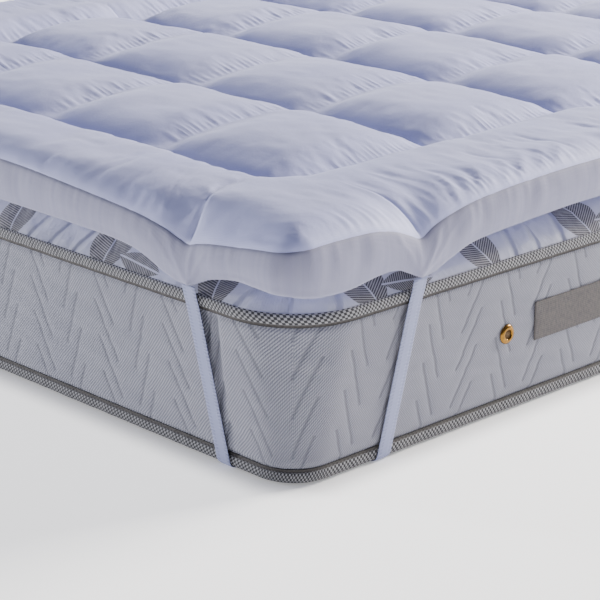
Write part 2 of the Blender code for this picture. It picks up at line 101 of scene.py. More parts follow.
STRAP_FEET = {
    "short": {"hem": 0.197, "floor": 0.128},
    "long": {"hem": 0.234, "floor": 0.164},
}

# Edge of the topper: distance from the corner, height of the band's upper seam, height of its hem.
RIM = {
    "short": np.array((
        (0.000, 0.3268, 0.2678),
        (0.062, 0.3201, 0.2699),
        (0.098, 0.3154, 0.2704),
        (0.147, 0.3087, 0.2606),
        (0.177, 0.3025, 0.2481),
        (0.197, 0.2978, 0.2419),
        (0.218, 0.3035, 0.2430),
        (0.243, 0.3113, 0.2502),
        (0.271, 0.3170, 0.2616),
        (0.301, 0.3211, 0.2704),
        (0.352, 0.3252, 0.2756),
        (0.435, 0.3309, 0.2771),
        (0.569, 0.3382, 0.2781),
        (0.818, 0.3402, 0.2792),
    )),
    "long": np.array((
        (0.000, 0.3268, 0.2678),
        (0.049, 0.3294, 0.2611),
        (0.098, 0.3294, 0.2606),
        (0.149, 0.3268, 0.2673),
        (0.184, 0.3190, 0.2668),
        (0.210, 0.3087, 0.2564),
        (0.234, 0.2999, 0.2461),
        (0.256, 0.3113, 0.2481),
        (0.282, 0.3206, 0.2590),
        (0.326, 0.3304, 0.2740),
        (0.373, 0.3356, 0.2792),
        (0.445, 0.3402, 0.2833),
        (0.569, 0.3439, 0.2880),
        (1.025, 0.3444, 0.2885),
    )),
}
SEAM_COLUMN, HEM_COLUMN = 1, 2

# ---- small formulas ----------------------------------------------------------------------

def fade(distance, reach):
    """1 at the edge, falling smoothly to 0 at `reach`."""
    t = np.clip(np.asarray(distance, float) / reach, 0.0, 1.0)
    return (1.0 - t) ** 2 * (1.0 + 2.0 * t)


def hill(distance, width):
    """A smooth bump of height 1."""
    return np.exp(-(np.asarray(distance, float) / width) ** 2)


def table_value(rows, where, column):
    """Smooth curve through one column of a table whose first column is a distance."""
    at, values = rows[:, 0], rows[:, column]
    before = np.concatenate(([0], np.arange(len(at) - 1)))
    after = np.concatenate((np.arange(1, len(at)), [len(at) - 1]))
    slopes = (values[after] - values[before]) / (at[after] - at[before])
    where = np.clip(where, at[0], at[-1])
    k = np.clip(np.searchsorted(at, where) - 1, 0, len(at) - 2)
    span = at[k + 1] - at[k]
    t = (where - at[k]) / span
    rise = (2 * t ** 3 - 3 * t ** 2 + 1) * values[k] + (3 * t ** 2 - 2 * t ** 3) * values[k + 1]
    lean = (t ** 3 - 2 * t ** 2 + t) * slopes[k] + (t ** 3 - t ** 2) * slopes[k + 1]
    return rise + span * lean


def seam_positions(half, border, count):
    """Where the seams lie across one direction, both edges with them."""
    inner = half - OVERHANG - border
    pitch = 2 * inner / (count - 2)
    return np.array([-half] + [-inner + pitch * k for k in range(count - 1)] + [half])


SEAMS_X = seam_positions(HALF_X, BORDER_COLUMN, COLUMNS)
SEAMS_Y = seam_positions(HALF_Y, BORDER_ROW, ROWS)


def to_rim(x, y):
    """Distances of points of the even plan from the long sides and from the short ends."""
    return HALF_X - np.abs(x), HALF_Y - np.abs(y)


def from_corner(x, y):
    """Distances from the nearest mattress corner, along the long side and along the short end."""
    return LENGTH / 2 - np.abs(y), WIDTH / 2 - np.abs(x)


def beside_elastics(x, y):
    """Distance inward and distance aside from the elastics, first on the ends, then on the sides."""
    to_side, to_end = to_rim(x, y)
    return (to_end, np.abs(x) - SEAMS_X[-2]), (to_side, np.abs(y) - SEAMS_Y[-2])


def pillow(share, steepness=SEAM_STEEPNESS):
    """Cross-section of a stuffed pocket: 0 at both seams, 1 in the middle."""
    return np.maximum(1.0 - np.abs(2.0 * share - 1.0) ** CROWN_FLATNESS, 0.0) ** steepness


LINE_VALUES = 4096              # random values kept for a line of noise,
FIELD_VALUES = 256              # and each way for a field of it
ALL_POSITIVE = 3.0              # added to a place so that noise never meets a place below 0


def eased(t):
    """A share that starts and ends gently."""
    return t * t * (3 - 2 * t)


def noise_line(where, pitch, seed):
    """Smooth random values from -1 to 1 along a line, one for each `pitch`."""
    values = np.random.default_rng(seed).uniform(-1.0, 1.0, LINE_VALUES)
    cell = np.floor(where / pitch).astype(int)
    t = eased(where / pitch - cell)
    return values[cell % LINE_VALUES] * (1 - t) + values[(cell + 1) % LINE_VALUES] * t


def noise_field(x, y, pitch_x, pitch_y, seed):
    """Smooth random values from -1 to 1 over a plane."""
    values = np.random.default_rng(seed).uniform(-1.0, 1.0, (FIELD_VALUES, FIELD_VALUES))
    column, row = np.floor(x / pitch_x).astype(int), np.floor(y / pitch_y).astype(int)
    tx, ty = eased(x / pitch_x - column), eased(y / pitch_y - row)

    def along_row(j):
        here, following = column % FIELD_VALUES, (column + 1) % FIELD_VALUES
        return values[here, j % FIELD_VALUES] * (1 - tx) + values[following, j % FIELD_VALUES] * tx

    return along_row(row) * (1 - ty) + along_row(row + 1) * ty


# ---- node materials ----------------------------------------------------------------------

class Term:
    """An output of a material's node.  Arithmetic with terms adds Math nodes."""

    def __init__(self, nodes, output):
        self.nodes = nodes
        self.output = output

    def __add__(self, other):
        return self.nodes.math("ADD", self, other)

    def __sub__(self, other):
        return self.nodes.math("SUBTRACT", self, other)

    def __rsub__(self, other):
        return self.nodes.math("SUBTRACT", other, self)

    def __mul__(self, other):
        return self.nodes.math("MULTIPLY", self, other)

    def __truediv__(self, other):
        return self.nodes.math("DIVIDE", self, other)

    def __mod__(self, other):
        return self.nodes.math("FLOORED_MODULO", self, other)

    def __abs__(self):
        return self.nodes.math("ABSOLUTE", self)


class Nodes:
    """A Principled material with short ways to add the nodes that feed it."""

    def __init__(self, name, roughness, metallic=0.0):
        self.material = bpy.data.materials.new(name)
        self.material.use_nodes = True
        self.tree = self.material.node_tree
        self.surface = self.tree.nodes["Principled BSDF"].inputs
        self.feed(self.surface, {"Roughness": roughness, "Metallic": metallic})

    def feed(self, inputs, values):
        """Give inputs numbers, colours or terms."""
        for name, value in values.items():
            if isinstance(value, Term):
                self.tree.links.new(value.output, inputs[name])
            else:
                inputs[name].default_value = (*value, 1.0) if isinstance(value, tuple) else value

    def node(self, kind, output, values, **settings):
        """Add a node and return one of its outputs."""
        node = self.tree.nodes.new("ShaderNode" + kind)
        for name, setting in settings.items():
            setattr(node, name, setting)
        self.feed(node.inputs, values)
        return Term(self, node.outputs[output])

    def place(self):
        """Object coordinates, in metres."""
        return self.node("TexCoord", "Object", {})

    def uv(self):
        """Lengths along and across the cloth, in metres."""
        return self.node("UVMap", "UV", {}, uv_map="UVMap")

    def attribute(self, name):
        return self.node("Attribute", "Fac", {}, attribute_name=name)

    def split(self, vector):
        node = self.tree.nodes.new("ShaderNodeSeparateXYZ")
        self.feed(node.inputs, {0: vector})
        return [Term(self, output) for output in node.outputs]

    def join(self, x, y, z):
        return self.node("CombineXYZ", 0, {0: x, 1: y, 2: z})

    def math(self, operation, one, two=0.0):
        return self.node("Math", 0, {0: one, 1: two}, operation=operation)

    def lesser(self, one, two):
        return self.math("MINIMUM", one, two)

    def greater(self, one, two):
        return self.math("MAXIMUM", one, two)

    def hypotenuse(self, one, two):
        return self.math("SQRT", one * one + two * two)

    def ramp(self, value, low, high, to_low=0.0, to_high=1.0):
        values = {"Value": value, "From Min": low, "From Max": high, "To Min": to_low, "To Max": to_high}
        return self.node("MapRange", "Result", values, interpolation_type="SMOOTHSTEP")

    def noise(self, vector, scale, detail=2.0, roughness=0.5):
        values = {"Vector": vector, "Scale": scale, "Detail": detail, "Roughness": roughness}
        return self.node("TexNoise", "Fac", values)

    def wave(self, value, period):
        """0 to 1 and back over each period."""
        return self.math("SINE", value * (2 * math.pi / period)) * 0.5 + 0.5

    def mix(self, factor, one, two):
        return self.node("Mix", "Result", {"Factor": factor, "A": one, "B": two}, data_type="RGBA")

    def mottled(self, vector, scale, one, two, detail=3.0, edge=0.3):
        """Soft patches of one colour in another."""
        return self.mix(self.ramp(self.noise(vector, scale, detail), edge, 1.0 - edge), one, two)

    def colour(self, value):
        self.feed(self.surface, {"Base Color": value})

    def bump(self, height, depth, strength=1.0):
        """Raise the surface by `height` times `depth` metres, on top of what is already raised."""
        values = {"Strength": strength, "Distance": depth, "Height": height}
        if self.surface["Normal"].is_linked:
            values["Normal"] = Term(self, self.surface["Normal"].links[0].from_socket)
        self.feed(self.surface, {"Normal": self.node("Bump", "Normal", values)})

    def sheen(self, weight, roughness, tint):
        self.feed(self.surface, {"Sheen Weight": weight, "Sheen Roughness": roughness, "Sheen Tint": tint})


THREAD_PITCH = 0.0016           # the fine threads of the topper and its band
THREAD_HEIGHT = 0.0002


def cloth_weave(m):
    """Fine over-and-under threads in the two directions of the cloth."""
    x, y, _z = m.split(m.place())
    m.bump(m.wave(x, THREAD_PITCH) * m.wave(y, THREAD_PITCH), THREAD_HEIGHT, 0.6)


def satin_material():
    """The topper's soft cotton satin, pale lavender."""
    m = Nodes("satin", 0.62)
    m.colour(m.mottled(m.place(), 5.0, (0.515, 0.540, 0.860), (0.565, 0.588, 0.890), edge=0.35))
    m.bump(m.noise(m.place(), 60.0, 3.0, 0.6), 0.0012, 0.5)
    cloth_weave(m)
    m.sheen(0.25, 0.45, (0.86, 0.89, 1.0))
    m.feed(m.surface, {"Specular IOR Level": 0.35})
    return m.material


def band_material():
    """The same cloth on the band, plain and a little greyer, with faint upright threads."""
    m = Nodes("band_cloth", 0.70)
    along, _across, _ = m.split(m.uv())
    streaks = m.noise(m.join(along * 90.0, 0.0, 0.0), 1.0, 3.0, 0.6)
    m.colour(m.mix(m.ramp(streaks, 0.3, 0.7), (0.258, 0.258, 0.372), (0.288, 0.288, 0.398)))
    m.bump(streaks, 0.0006, 0.5)
    cloth_weave(m)
    m.sheen(0.20, 0.5, (0.9, 0.9, 1.0))
    m.feed(m.surface, {"Specular IOR Level": 0.30})
    return m.material


def elastic_material():
    """Flat woven elastic: cross ribs all along, looser ribbed edges."""
    m = Nodes("elastic", 0.72)
    along, across, _ = m.split(m.uv())
    ribs = m.wave(along, 0.0048)
    edge = m.ramp(abs(across), 0.0050, 0.0070)
    m.bump(ribs * (edge + 0.15), 0.0006)
    m.bump(m.wave(across, 0.0018), 0.0003, 0.6)
    m.colour(m.mix(ribs * edge * 0.32, (0.300, 0.326, 0.510), (0.190, 0.206, 0.346)))
    m.sheen(0.15, 0.5, (0.9, 0.92, 1.0))
    return m.material


def knit_material():
    """The border's knitted cloth: fine slanting ribs, with a groove along each quilted stroke, painted
    darker as shade in the groove.
    """
    m = Nodes("border_knit", 0.85)
    along, up, _ = m.split(m.uv())
    cloth = m.join(along, up, 0.0)
    slant = along * 0.72 + up * -0.72 + m.noise(cloth, 25.0) * 0.004
    texture = m.wave(slant, 0.0035) * 0.7 + m.wave(along, 0.0030) * 0.3
    nearest = quilting_distance(along, up, m.lesser, m.greater, m.hypotenuse)
    # painted shade: the cloth is darkened along each sunk quilted groove
    groove = m.ramp(nearest, 0.0006, 0.0036, 1.0, 0.0)
    light = m.mottled(cloth, 9.0, (0.360, 0.366, 0.424), (0.400, 0.405, 0.460))
    ribbed = m.mix(texture * 0.95, light, (0.150, 0.154, 0.200))
    m.colour(m.mix(groove * 0.60, ribbed, (0.130, 0.134, 0.165)))
    m.bump(m.ramp(nearest, 0.0, 0.0050), 0.0010)
    m.bump(texture, 0.0013, 0.9)
    return m.material


CHECK_LENGTH = 0.0034           # one check of the edge tapes
CHECK_WIDTH = 0.0036


def tape_material():
    """Woven edge tape: small black and white checks, with a dark flange whose strip next to the border is
    painted near black as shade of the gap at the joint.
    """
    m = Nodes("check_tape", 0.75)
    along, across, _ = m.split(m.uv())
    lengthwise = m.math("SINE", (along + across * 0.25) * (math.pi / CHECK_LENGTH))
    checks = lengthwise * m.math("SINE", across * (math.pi / CHECK_WIDTH))
    white = m.ramp(checks, -0.20, 0.30)
    cloth = m.mix(white, (0.026, 0.026, 0.030), (0.310, 0.308, 0.322))
    # the flange is dark cloth; its strip next to the border is blacker, painted shade of the gap
    flange_with_painted_gap_shade = m.mix(m.ramp(across, 0.0016, 0.0030), (0.015, 0.014, 0.014), (0.060, 0.054, 0.052))
    m.colour(m.mix(m.attribute("flange"), cloth, flange_with_painted_gap_shade))
    m.bump(white, 0.0008)
    return m.material


# Leaves woven into the top panel, in one repeat: middle along and up the slope, slant, half
# length and half width.
LEAF_REPEATS = 15
LEAVES = (
    (0.106, 0.054, 1.75, 0.056, 0.041),
    (0.184, 0.033, -0.10, 0.049, 0.017),
    (0.342, 0.050, 1.85, 0.052, 0.035),
)
PANEL_SEAMS = (0.040, 0.395, 0.447)     # stitched grooves across the panel, in the same repeat, painted darker as shade in the grooves


def panel_material():
    """The mattress's top panel: pale plush cloth with dark striped leaves woven in."""
    m = Nodes("panel_cloth", 0.80)
    along, across, _ = m.split(m.uv())
    place = m.place()
    plush = m.mottled(place, 14.0, (0.380, 0.390, 0.490), (0.440, 0.448, 0.530))
    repeat = along % (PERIMETER / LEAF_REPEATS)
    colour = plush
    for middle, height, slant, half_length, half_width in LEAVES:
        aside, rise = repeat - middle, across - height
        lengthwise = aside * math.cos(slant) + rise * math.sin(slant)
        off = abs(rise * math.cos(slant) - aside * math.sin(slant))
        share = lengthwise / half_length
        inside = m.ramp(half_width - share * share * half_width - off, -0.0006, 0.0006)
        stripes = m.wave(lengthwise - off * 0.45, 0.0038)
        dark = m.mix(m.ramp(stripes, 0.55, 0.90), (0.040, 0.038, 0.044), (0.300, 0.292, 0.310))
        colour = m.mix(inside, colour, m.mix(m.ramp(off, 0.0010, 0.0018), plush, dark))
    stitched = 1.0
    for line in PANEL_SEAMS:
        away = abs(repeat - (across * 0.3 + line))
        stitched = m.lesser(m.ramp(away, 0.0, 0.0110), stitched)
    # painted shade: the stitched grooves are darkened in colour as well as sunk
    m.colour(m.mix(stitched, (0.330, 0.340, 0.430), colour))
    m.bump(stitched, 0.0042)
    m.bump(m.noise(place, 22.0), 0.0120, 0.8)
    m.bump(m.wave(along, 0.0032), 0.0004, 0.5)
    m.bump(m.noise(place, 160.0, 3.0), 0.0014, 0.7)
    m.sheen(0.25, 0.5, (0.9, 0.92, 1.0))
    return m.material


def brass_material():
    """The worn brass of a vent."""
    m = Nodes("vent_brass", 0.26, 1.0)
    scratches = m.noise(m.place(), 220.0, 4.0)
    m.colour(m.mix(m.ramp(scratches, 0.3, 0.7), (0.27, 0.14, 0.03), (0.20, 0.10, 0.02)))
    m.bump(scratches, 0.0002, 0.4)
    return m.material


def gauze_material():
    """The dark gauze inside a vent; its holes are painted near black, the shade of the vent's hollow behind
    them.
    """
    m = Nodes("vent_gauze", 0.5, 0.6)
    _x, y, z = m.split(m.place())
    holes = m.wave(y, 0.0026) * m.wave(z, 0.0026)
    # painted shade: the holes show near black for the dark hollow behind the gauze
    m.colour(m.mix(m.ramp(holes, 0.15, 0.45), (0.13, 0.07, 0.02), (0.02, 0.012, 0.006)))
    m.bump(holes, 0.0008)
    return m.material


def patch_material():
    """A bare woven patch of grey and brown threads."""
    m = Nodes("patch_weave", 0.85)
    _x, y, z = m.split(m.place())
    threads = m.wave(y, 0.0024) * m.wave(z, 0.0030)
    tone = m.mottled(m.join(0.0, y * 3.0, z), 130.0, (0.072, 0.066, 0.070), (0.112, 0.098, 0.094), 2.0, 0.35)
    m.colour(m.mix(threads * 0.35, tone, (0.17, 0.165, 0.165)))
    m.bump(threads, 0.0006)
    return m.material


FOOT_RADIUS = 0.062             # the mattress corner at the floor
PAINTED_SHADOW_REACH = 0.055           # the painted shadow round its foot
FLOOR_GLOW_WITH_PAINTED_SHADOW = (0.30, 1.38)       # the floor's own glow inside that painted shadow and away from it


def floor_material():
    """A pale glowing floor with a soft shadow painted round the foot of the mattress, where its glow is
    turned down.
    """
    m = Nodes("floor", 0.9)
    x, y, _z = m.split(m.place())
    aside = m.greater(abs(x) - (WIDTH / 2 - FOOT_RADIUS), 0.0)
    beyond = m.greater(abs(y) - (LENGTH / 2 - FOOT_RADIUS), 0.0)
    # painted shadow: the floor's glow is turned down near the foot of the mattress
    glow_with_painted_shadow = m.ramp(m.hypotenuse(aside, beyond), FOOT_RADIUS, FOOT_RADIUS + PAINTED_SHADOW_REACH, *FLOOR_GLOW_WITH_PAINTED_SHADOW)
    m.colour((0.93, 0.93, 0.93))
    m.feed(m.surface, {"Emission Color": (1.0, 0.99, 0.97), "Emission Strength": glow_with_painted_shadow})
    m.bump(m.noise(m.place(), 3.0), 0.0002, 0.1)
    return m.material


# ---- mesh helpers ------------------------------------------------------------------------

def new_mesh(name, points, faces, materials, face_slots=None):
    """A smooth mesh object from points and lists of faces."""
    mesh = bpy.data.meshes.new(name)
    mesh.from_pydata(np.asarray(points).tolist(), [], faces)
    for material in materials:
        mesh.materials.append(material)
    if face_slots is not None:
        mesh.polygons.foreach_set("material_index", face_slots)
    mesh.shade_smooth()
    mesh.validate(clean_customdata=False)
    thing = bpy.data.objects.new(name, mesh)
    bpy.context.scene.collection.objects.link(thing)
    return thing


def lengths_as_uv(thing, along, across, seam_length=None):
    """Write the lengths along and across the cloth, one pair for each point, as the UV map.

    Where a closed strip of `seam_length` meets itself, its last faces run on past the end.
    """
    mesh = thing.data
    layer = mesh.uv_layers.new(name="UVMap")
    corners = np.zeros(len(mesh.loops), np.int32)
    mesh.loops.foreach_get("vertex_index", corners)
    u, v = np.asarray(along, float)[corners], np.asarray(across, float)[corners]
    if seam_length:
        starts = np.zeros(len(mesh.polygons), np.int32)
        mesh.polygons.foreach_get("loop_start", starts)
        highest = np.repeat(np.maximum.reduceat(u, starts), np.diff(starts, append=len(corners)))
        u = np.where(highest - u > seam_length / 2, u + seam_length, u)
    layer.data.foreach_set("uv", np.stack((u, v), axis=1).astype(np.float32).ravel())


def ring_faces(rings, count, closed=False):
    """Quads between successive rings of `count` points; a closed tube also joins the last to the first."""
    start = np.arange(rings if closed else rings - 1)[:, None] * count
    following = (start + count) % (rings * count)
    a = np.arange(count)[None, :]
    b = (a + 1) % count
    return np.stack((start + a, start + b, following + b, following + a), axis=-1).reshape(-1, 4).tolist()


def grid_faces(number):
    """Quads of a grid whose points have these numbers."""
    corners = (number[:-1, :-1], number[1:, :-1], number[1:, 1:], number[:-1, 1:])
    return np.stack(corners, axis=-1).reshape(-1, 4)


def lengths_to(points):
    """Length of a line up to each of its points."""
    return np.concatenate(([0.0], np.cumsum(np.linalg.norm(np.diff(points, axis=0), axis=1))))


def lengths_around(points):
    """Length of a closed outline up to each of its points, and all round."""
    lengths = lengths_to(np.vstack((points, points[:1])))
    return lengths[:-1], lengths[-1]


# ---- topper ------------------------------------------------------------------------------

POCKET_CELLS = 26               # mesh lines across a pocket,
BORDER_CELLS = 24               # across a long border roll
FOLDED_CELLS = 52               # and across the pockets next to it, where the elastics pull
FINE_ROW = 108                  # fine mesh lines along one row of pockets,
FINE_BORDER_ROW = 75            # and along a border roll
COARSE_STEP = 3                 # plain cloth keeps every third of them
CROWDED = (POCKET_CELLS, BORDER_CELLS)     # these lines crowd beside the seams, the others are even
SEAM_CROWDING = 0.6
FINE_REACH = 0.060              # puckered cloth beside a seam along Y,
FINE_EDGE = 0.135               # and beside the band
PUCKER_HEIGHT = 0.0030
PUCKER_PITCH = 0.0112
PUCKER_RISE = 0.006             # a gather starts this far from its seam,
PUCKER_LEAST = 0.016            # runs at least this far
PUCKER_MORE = 0.040             # and at most this much farther
# Folds pulled by the elastics: distance from the corner at the rim, how far they bend away from
# it, height, length inward and half width.
DRAG_FOLDS = {
    "long": (
        (0.243, 0.060, 0.0022, 0.075, 0.0045),
        (0.262, 0.060, 0.0024, 0.090, 0.0050),
        (0.280, 0.060, 0.0034, 0.165, 0.0055),
        (0.305, 0.075, 0.0026, 0.120, 0.0055),
        (0.330, 0.095, 0.0036, 0.200, 0.0060),
        (0.352, 0.090, 0.0022, 0.130, 0.0060),
        (0.385, 0.110, 0.0026, 0.170, 0.0065),
        (0.420, 0.120, 0.0034, 0.200, 0.0065),
        (0.468, 0.110, 0.0022, 0.150, 0.0070),
        (0.510, 0.100, 0.0028, 0.170, 0.0070),
        (0.205, 0.020, 0.0020, 0.060, 0.0045),
        (0.184, 0.010, 0.0016, 0.050, 0.0045),
    ),
    "short": (
        (0.262, 0.045, 0.0018, 0.190, 0.0040),
        (0.276, 0.050, 0.0030, 0.200, 0.0040),
        (0.291, 0.055, 0.0034, 0.190, 0.0042),
        (0.308, 0.055, 0.0028, 0.170, 0.0045),
        (0.332, 0.050, 0.0022, 0.150, 0.0060),
        (0.372, 0.040, 0.0014, 0.130, 0.0080),
    ),
}
FOLD_BEND = 0.070
FOLD_SHARE = 0.75               # the folds are raised to this share of their heights
FOLD_RISE = 0.015
FOLD_STEEP, FOLD_GENTLE = 1.6, 0.6      # the folds' two sides
SIDE_STREAKS = (0.0125, 0.0017, 101)    # gathers along the sides: pitch, height and seed,
END_STREAKS = (0.0170, 0.0009, 131)     # and along the ends
STREAK_RISE = 0.004
STREAK_LEAST = 0.018
STREAK_MORE = 0.060
STREAK_CORNER = 0.08            # they stop before the corners
SWELL = (0.0026, 0.085, 0.075, 21)      # slow unevenness: height, pitch along X and Y, seed
WRINKLES = (0.0009, 0.030, 0.016, 22)   # and shallow wrinkles
RIM_CALM = 0.012                # small relief dies out over this distance from the rim
NOTCH_DEPTH = 0.0052            # the sharp fold over each elastic
NOTCH_WIDTH = 0.0030
NOTCH_LENGTH = 0.140
LOBE_HEIGHT = 0.0042            # the corner pocket swells over that fold
LOBE_WIDTH = 0.030


def shares(cells):
    """Where the mesh lines cross a pocket, 0 to 1, closer together beside the seams."""
    even = np.arange(cells) / cells
    return (1 - SEAM_CROWDING) * even + SEAM_CROWDING * (0.5 - 0.5 * np.cos(math.pi * even))


def line_places(seams, cells):
    """Mesh lines across one direction: place, and share of the pocket passed."""
    places, passed = [], []
    for pocket, count in enumerate(cells):
        part = shares(count) if count in CROWDED else np.arange(count) / count
        places.append(seams[pocket] + part * (seams[pocket + 1] - seams[pocket]))
        passed.append(part)
    return np.concatenate(places + [seams[-1:]]), np.concatenate(passed + [[1.0]])


def lean(place, seams, foot, to_edge):
    """How far the stitching plan shifts outward so that the first seam ends at an elastic."""
    second, first, edge = seams[-3:]
    place = np.abs(place)
    inside = np.maximum((place - second) / (first - second), 0.0)
    share = np.where(place < first, inside, (edge - place) / (edge - first))
    return (edge - OVERHANG - first - foot) * share * fade(to_edge, EDGE_FADE)


def plan_points(x, y):
    """Where points of the even stitching plan really lie."""
    short_foot, long_foot = STRAP_FEET["short"]["hem"], STRAP_FEET["long"]["hem"]
    to_side, to_end = to_rim(x, y)
    sign_x, sign_y = np.where(x < 0, -1.0, 1.0), np.where(y < 0, -1.0, 1.0)
    moved_x = x + sign_x * lean(x, SEAMS_X, short_foot, to_end)
    moved_y = y + sign_y * lean(y, SEAMS_Y, long_foot, to_side)
    along_side, along_end = from_corner(moved_x, moved_y)
    inward_y = PULL_IN * hill(along_end - short_foot, PULL_WIDTH) * fade(to_end, EDGE_FADE)
    inward_x = PULL_IN * hill(along_side - long_foot, PULL_WIDTH) * fade(to_side, EDGE_FADE)
    in_x, in_y = (PAD_CORNER_RADIUS - inward for inward in to_rim(moved_x, moved_y))
    at_corner = (in_x > 0) & (in_y > 0)
    reach = np.where(at_corner, np.hypot(in_x, in_y), 1.0)
    shrink = np.where(at_corner, 1.0 - np.maximum(in_x, in_y) / np.maximum(reach, 1e-9), 0.0)
    rounded_x = moved_x - sign_x * in_x * shrink
    rounded_y = moved_y - sign_y * in_y * shrink
    return rounded_x - sign_x * inward_x, rounded_y - sign_y * inward_y


def edge_height(x, y, to_side, to_end):
    """Height of the stitching level: level inside, following the rim's waves near the edge."""
    rises, nears = [], []
    for side, along, inward in zip(("long", "short"), from_corner(x, y), (to_side, to_end)):
        rim = table_value(RIM[side], along, SEAM_COLUMN)
        raised = np.clip((rim - DIP_LOW) / (DIP_HIGH - DIP_LOW), 0.0, 1.0)
        rises.append(rim - SEAM_HEIGHT)
        nears.append(fade(inward, DIP_FADE + (EDGE_FADE - DIP_FADE) * raised))
    at_corner = RIM["long"][0, SEAM_COLUMN] - SEAM_HEIGHT
    mixed = rises[0] * nears[0] + rises[1] * nears[1] - at_corner * nears[0] * nears[1]
    dome = DOME * (1.0 - fade(to_side, DOME_REACH)) * (1.0 - fade(to_end, DOME_REACH))
    return SEAM_HEIGHT + mixed + dome


def soft_least(one, two):
    """The lesser of two shares, with the line where they meet rounded off."""
    softness = MITRE_SOFTNESS * np.minimum(2.0 * np.minimum(one, two), 1.0)
    return (one + two - np.sqrt((one - two) ** 2 + softness ** 2)) / 2


def crease(x, y):
    """Share of the crown left beside the creases that run inward from the elastics."""
    left = np.ones_like(x)
    for inward, aside in beside_elastics(x, y):
        depth = fade(inward, CREASE_LENGTH) * fade(np.abs(aside), CREASE_WIDTH)
        left = left * (1.0 - CREASE_DEPTH * depth)
    return left


def nearest_seam(x):
    """Number of the nearest seam along Y, and the signed distance to it."""
    inner = SEAMS_X[1:-1]
    away = x[..., None] - inner
    number = np.abs(away).argmin(axis=-1)
    return number, np.take_along_axis(away, number[..., None], axis=-1)[..., 0]


def seam_start(y):
    """0 in the short border rolls, 1 where the seams along Y have begun."""
    return 1.0 - fade(LENGTH / 2 - np.abs(y) - BORDER_ROW + SEAM_FADE, 2 * SEAM_FADE)


def furrow(x, y, share_y):
    """Share of the crown left beside the soft seams along Y, which come to a sharp line."""
    number, away = nearest_seam(x)
    depth = FURROW_FRONT + (FURROW_BACK - FURROW_FRONT) * share_y ** FURROW_FALL
    outer = (number == 0) | (number == len(SEAMS_X) - 3)
    depth = depth + np.where(outer, BORDER_FURROW, 0.0)
    sharp = np.clip(1.0 - np.abs(away) / FURROW_WIDTH, 0.0, 1.0) ** FURROW_POINT
    profile = (1 - FURROW_SHARPNESS) * fade(np.abs(away), FURROW_WIDTH) + FURROW_SHARPNESS * sharp
    return 1.0 - depth * seam_start(y) * profile


def deep_seam(x, share):
    """Cross-section between the deep seams along X, which end in the long border rolls."""
    to_fade = WIDTH / 2 - np.abs(x) - BORDER_COLUMN + SEAM_END + SEAM_FADE
    return 1.0 - (1.0 - pillow(share)) * (1.0 - fade(to_fade, 2 * SEAM_FADE))


def crown_share(x, y, share_y):
    """Height above the stitching level, as a share of the crown."""
    to_side, to_end = to_rim(x, y)
    in_roll_x = to_side / (BORDER_COLUMN + OVERHANG)
    in_roll_y = to_end / (BORDER_ROW + OVERHANG)
    rise_x = pillow(np.minimum(in_roll_x, 0.5), ROLL_STEEPNESS)
    rise_y = pillow(np.minimum(in_roll_y, 0.5), END_ROLL_STEEPNESS)
    rise = soft_least(rise_x, rise_y)
    inside = deep_seam(x, share_y)
    roll = deep_seam(x, np.clip(in_roll_y, 0.0, 1.0))
    rise = rise * np.where(in_roll_y >= 1.0, inside, np.where(in_roll_y > 0.5, roll, 1.0))
    return np.maximum(rise * furrow(x, y, share_y) * crease(x, y), 0.0)


def ridges(along, pitch, seed):
    """A row of uneven ridges: height 0 to 1, and each ridge's own random number."""
    slow = 0.9 * noise_line(along, 4.5 * pitch, seed)
    quick = 0.35 * noise_line(along, 1.6 * pitch, seed + 1)
    turn = along / pitch + slow + quick
    number = np.floor(turn).astype(int)
    own = np.random.default_rng(seed + 2).uniform(0.0, 1.0, LINE_VALUES)[number % LINE_VALUES]
    return np.sin(math.pi * (turn - number)) ** 1.3, own


def puckers(x, y, share_y):
    """Small gathers across the seams along Y, on the slope that faces +X."""
    number, away = nearest_seam(x)
    from_seam = np.maximum(-away, 0.0)
    middle = np.clip(4 * share_y * (1 - share_y), 0.0, 1.0) ** 0.6
    total = np.zeros_like(x)
    for seam in range(len(SEAMS_X) - 2):
        height, own = ridges(y + ALL_POSITIVE, PUCKER_PITCH, 11 + 7 * seam)
        reach = PUCKER_LEAST + PUCKER_MORE * own ** 1.5
        rise = np.clip(from_seam / PUCKER_RISE, 0.0, 1.0) * fade(from_seam, reach)
        amount = (0.45 + 0.55 * own) * middle * seam_start(y)
        total = total + np.where((number == seam) & (away < 0), height * rise * amount, 0.0)
    return PUCKER_HEIGHT * total


def drag_folds(x, y):
    """Folds that the elastics pull into the border rolls, each with one steep side."""
    total = np.zeros_like(x)
    for side, along, inward in zip(("long", "short"), from_corner(x, y), to_rim(x, y)):
        for place, bend, height, reach, half in DRAG_FOLDS[side]:
            aside = (along - place - bend * (1.0 - np.exp(-inward / FOLD_BEND))) / half
            profile = np.exp(-np.where(aside < 0, aside * FOLD_STEEP, aside * FOLD_GENTLE) ** 2)
            envelope = fade(inward, reach) * np.clip(inward / FOLD_RISE, 0.15, 1.0)
            total = total + FOLD_SHARE * height * profile * envelope
    return total


def roll_streaks(x, y):
    """Fine gathers at the band's seam, along the border rolls."""
    to_side, to_end = to_rim(x, y)
    total = np.zeros_like(x)
    for place, inward, onward, (pitch, depth, seed) in (
        (y, to_side, to_end, SIDE_STREAKS),
        (x, to_end, to_side, END_STREAKS),
    ):
        height, own = ridges(place + ALL_POSITIVE, pitch, seed)
        envelope = fade(inward, STREAK_LEAST + STREAK_MORE * own ** 2) * np.clip(inward / STREAK_RISE, 0, 1)
        envelope = envelope * np.clip(onward / STREAK_CORNER - 0.3, 0, 1)
        total = total + depth * height * (0.3 + 0.7 * own) * envelope
    return total


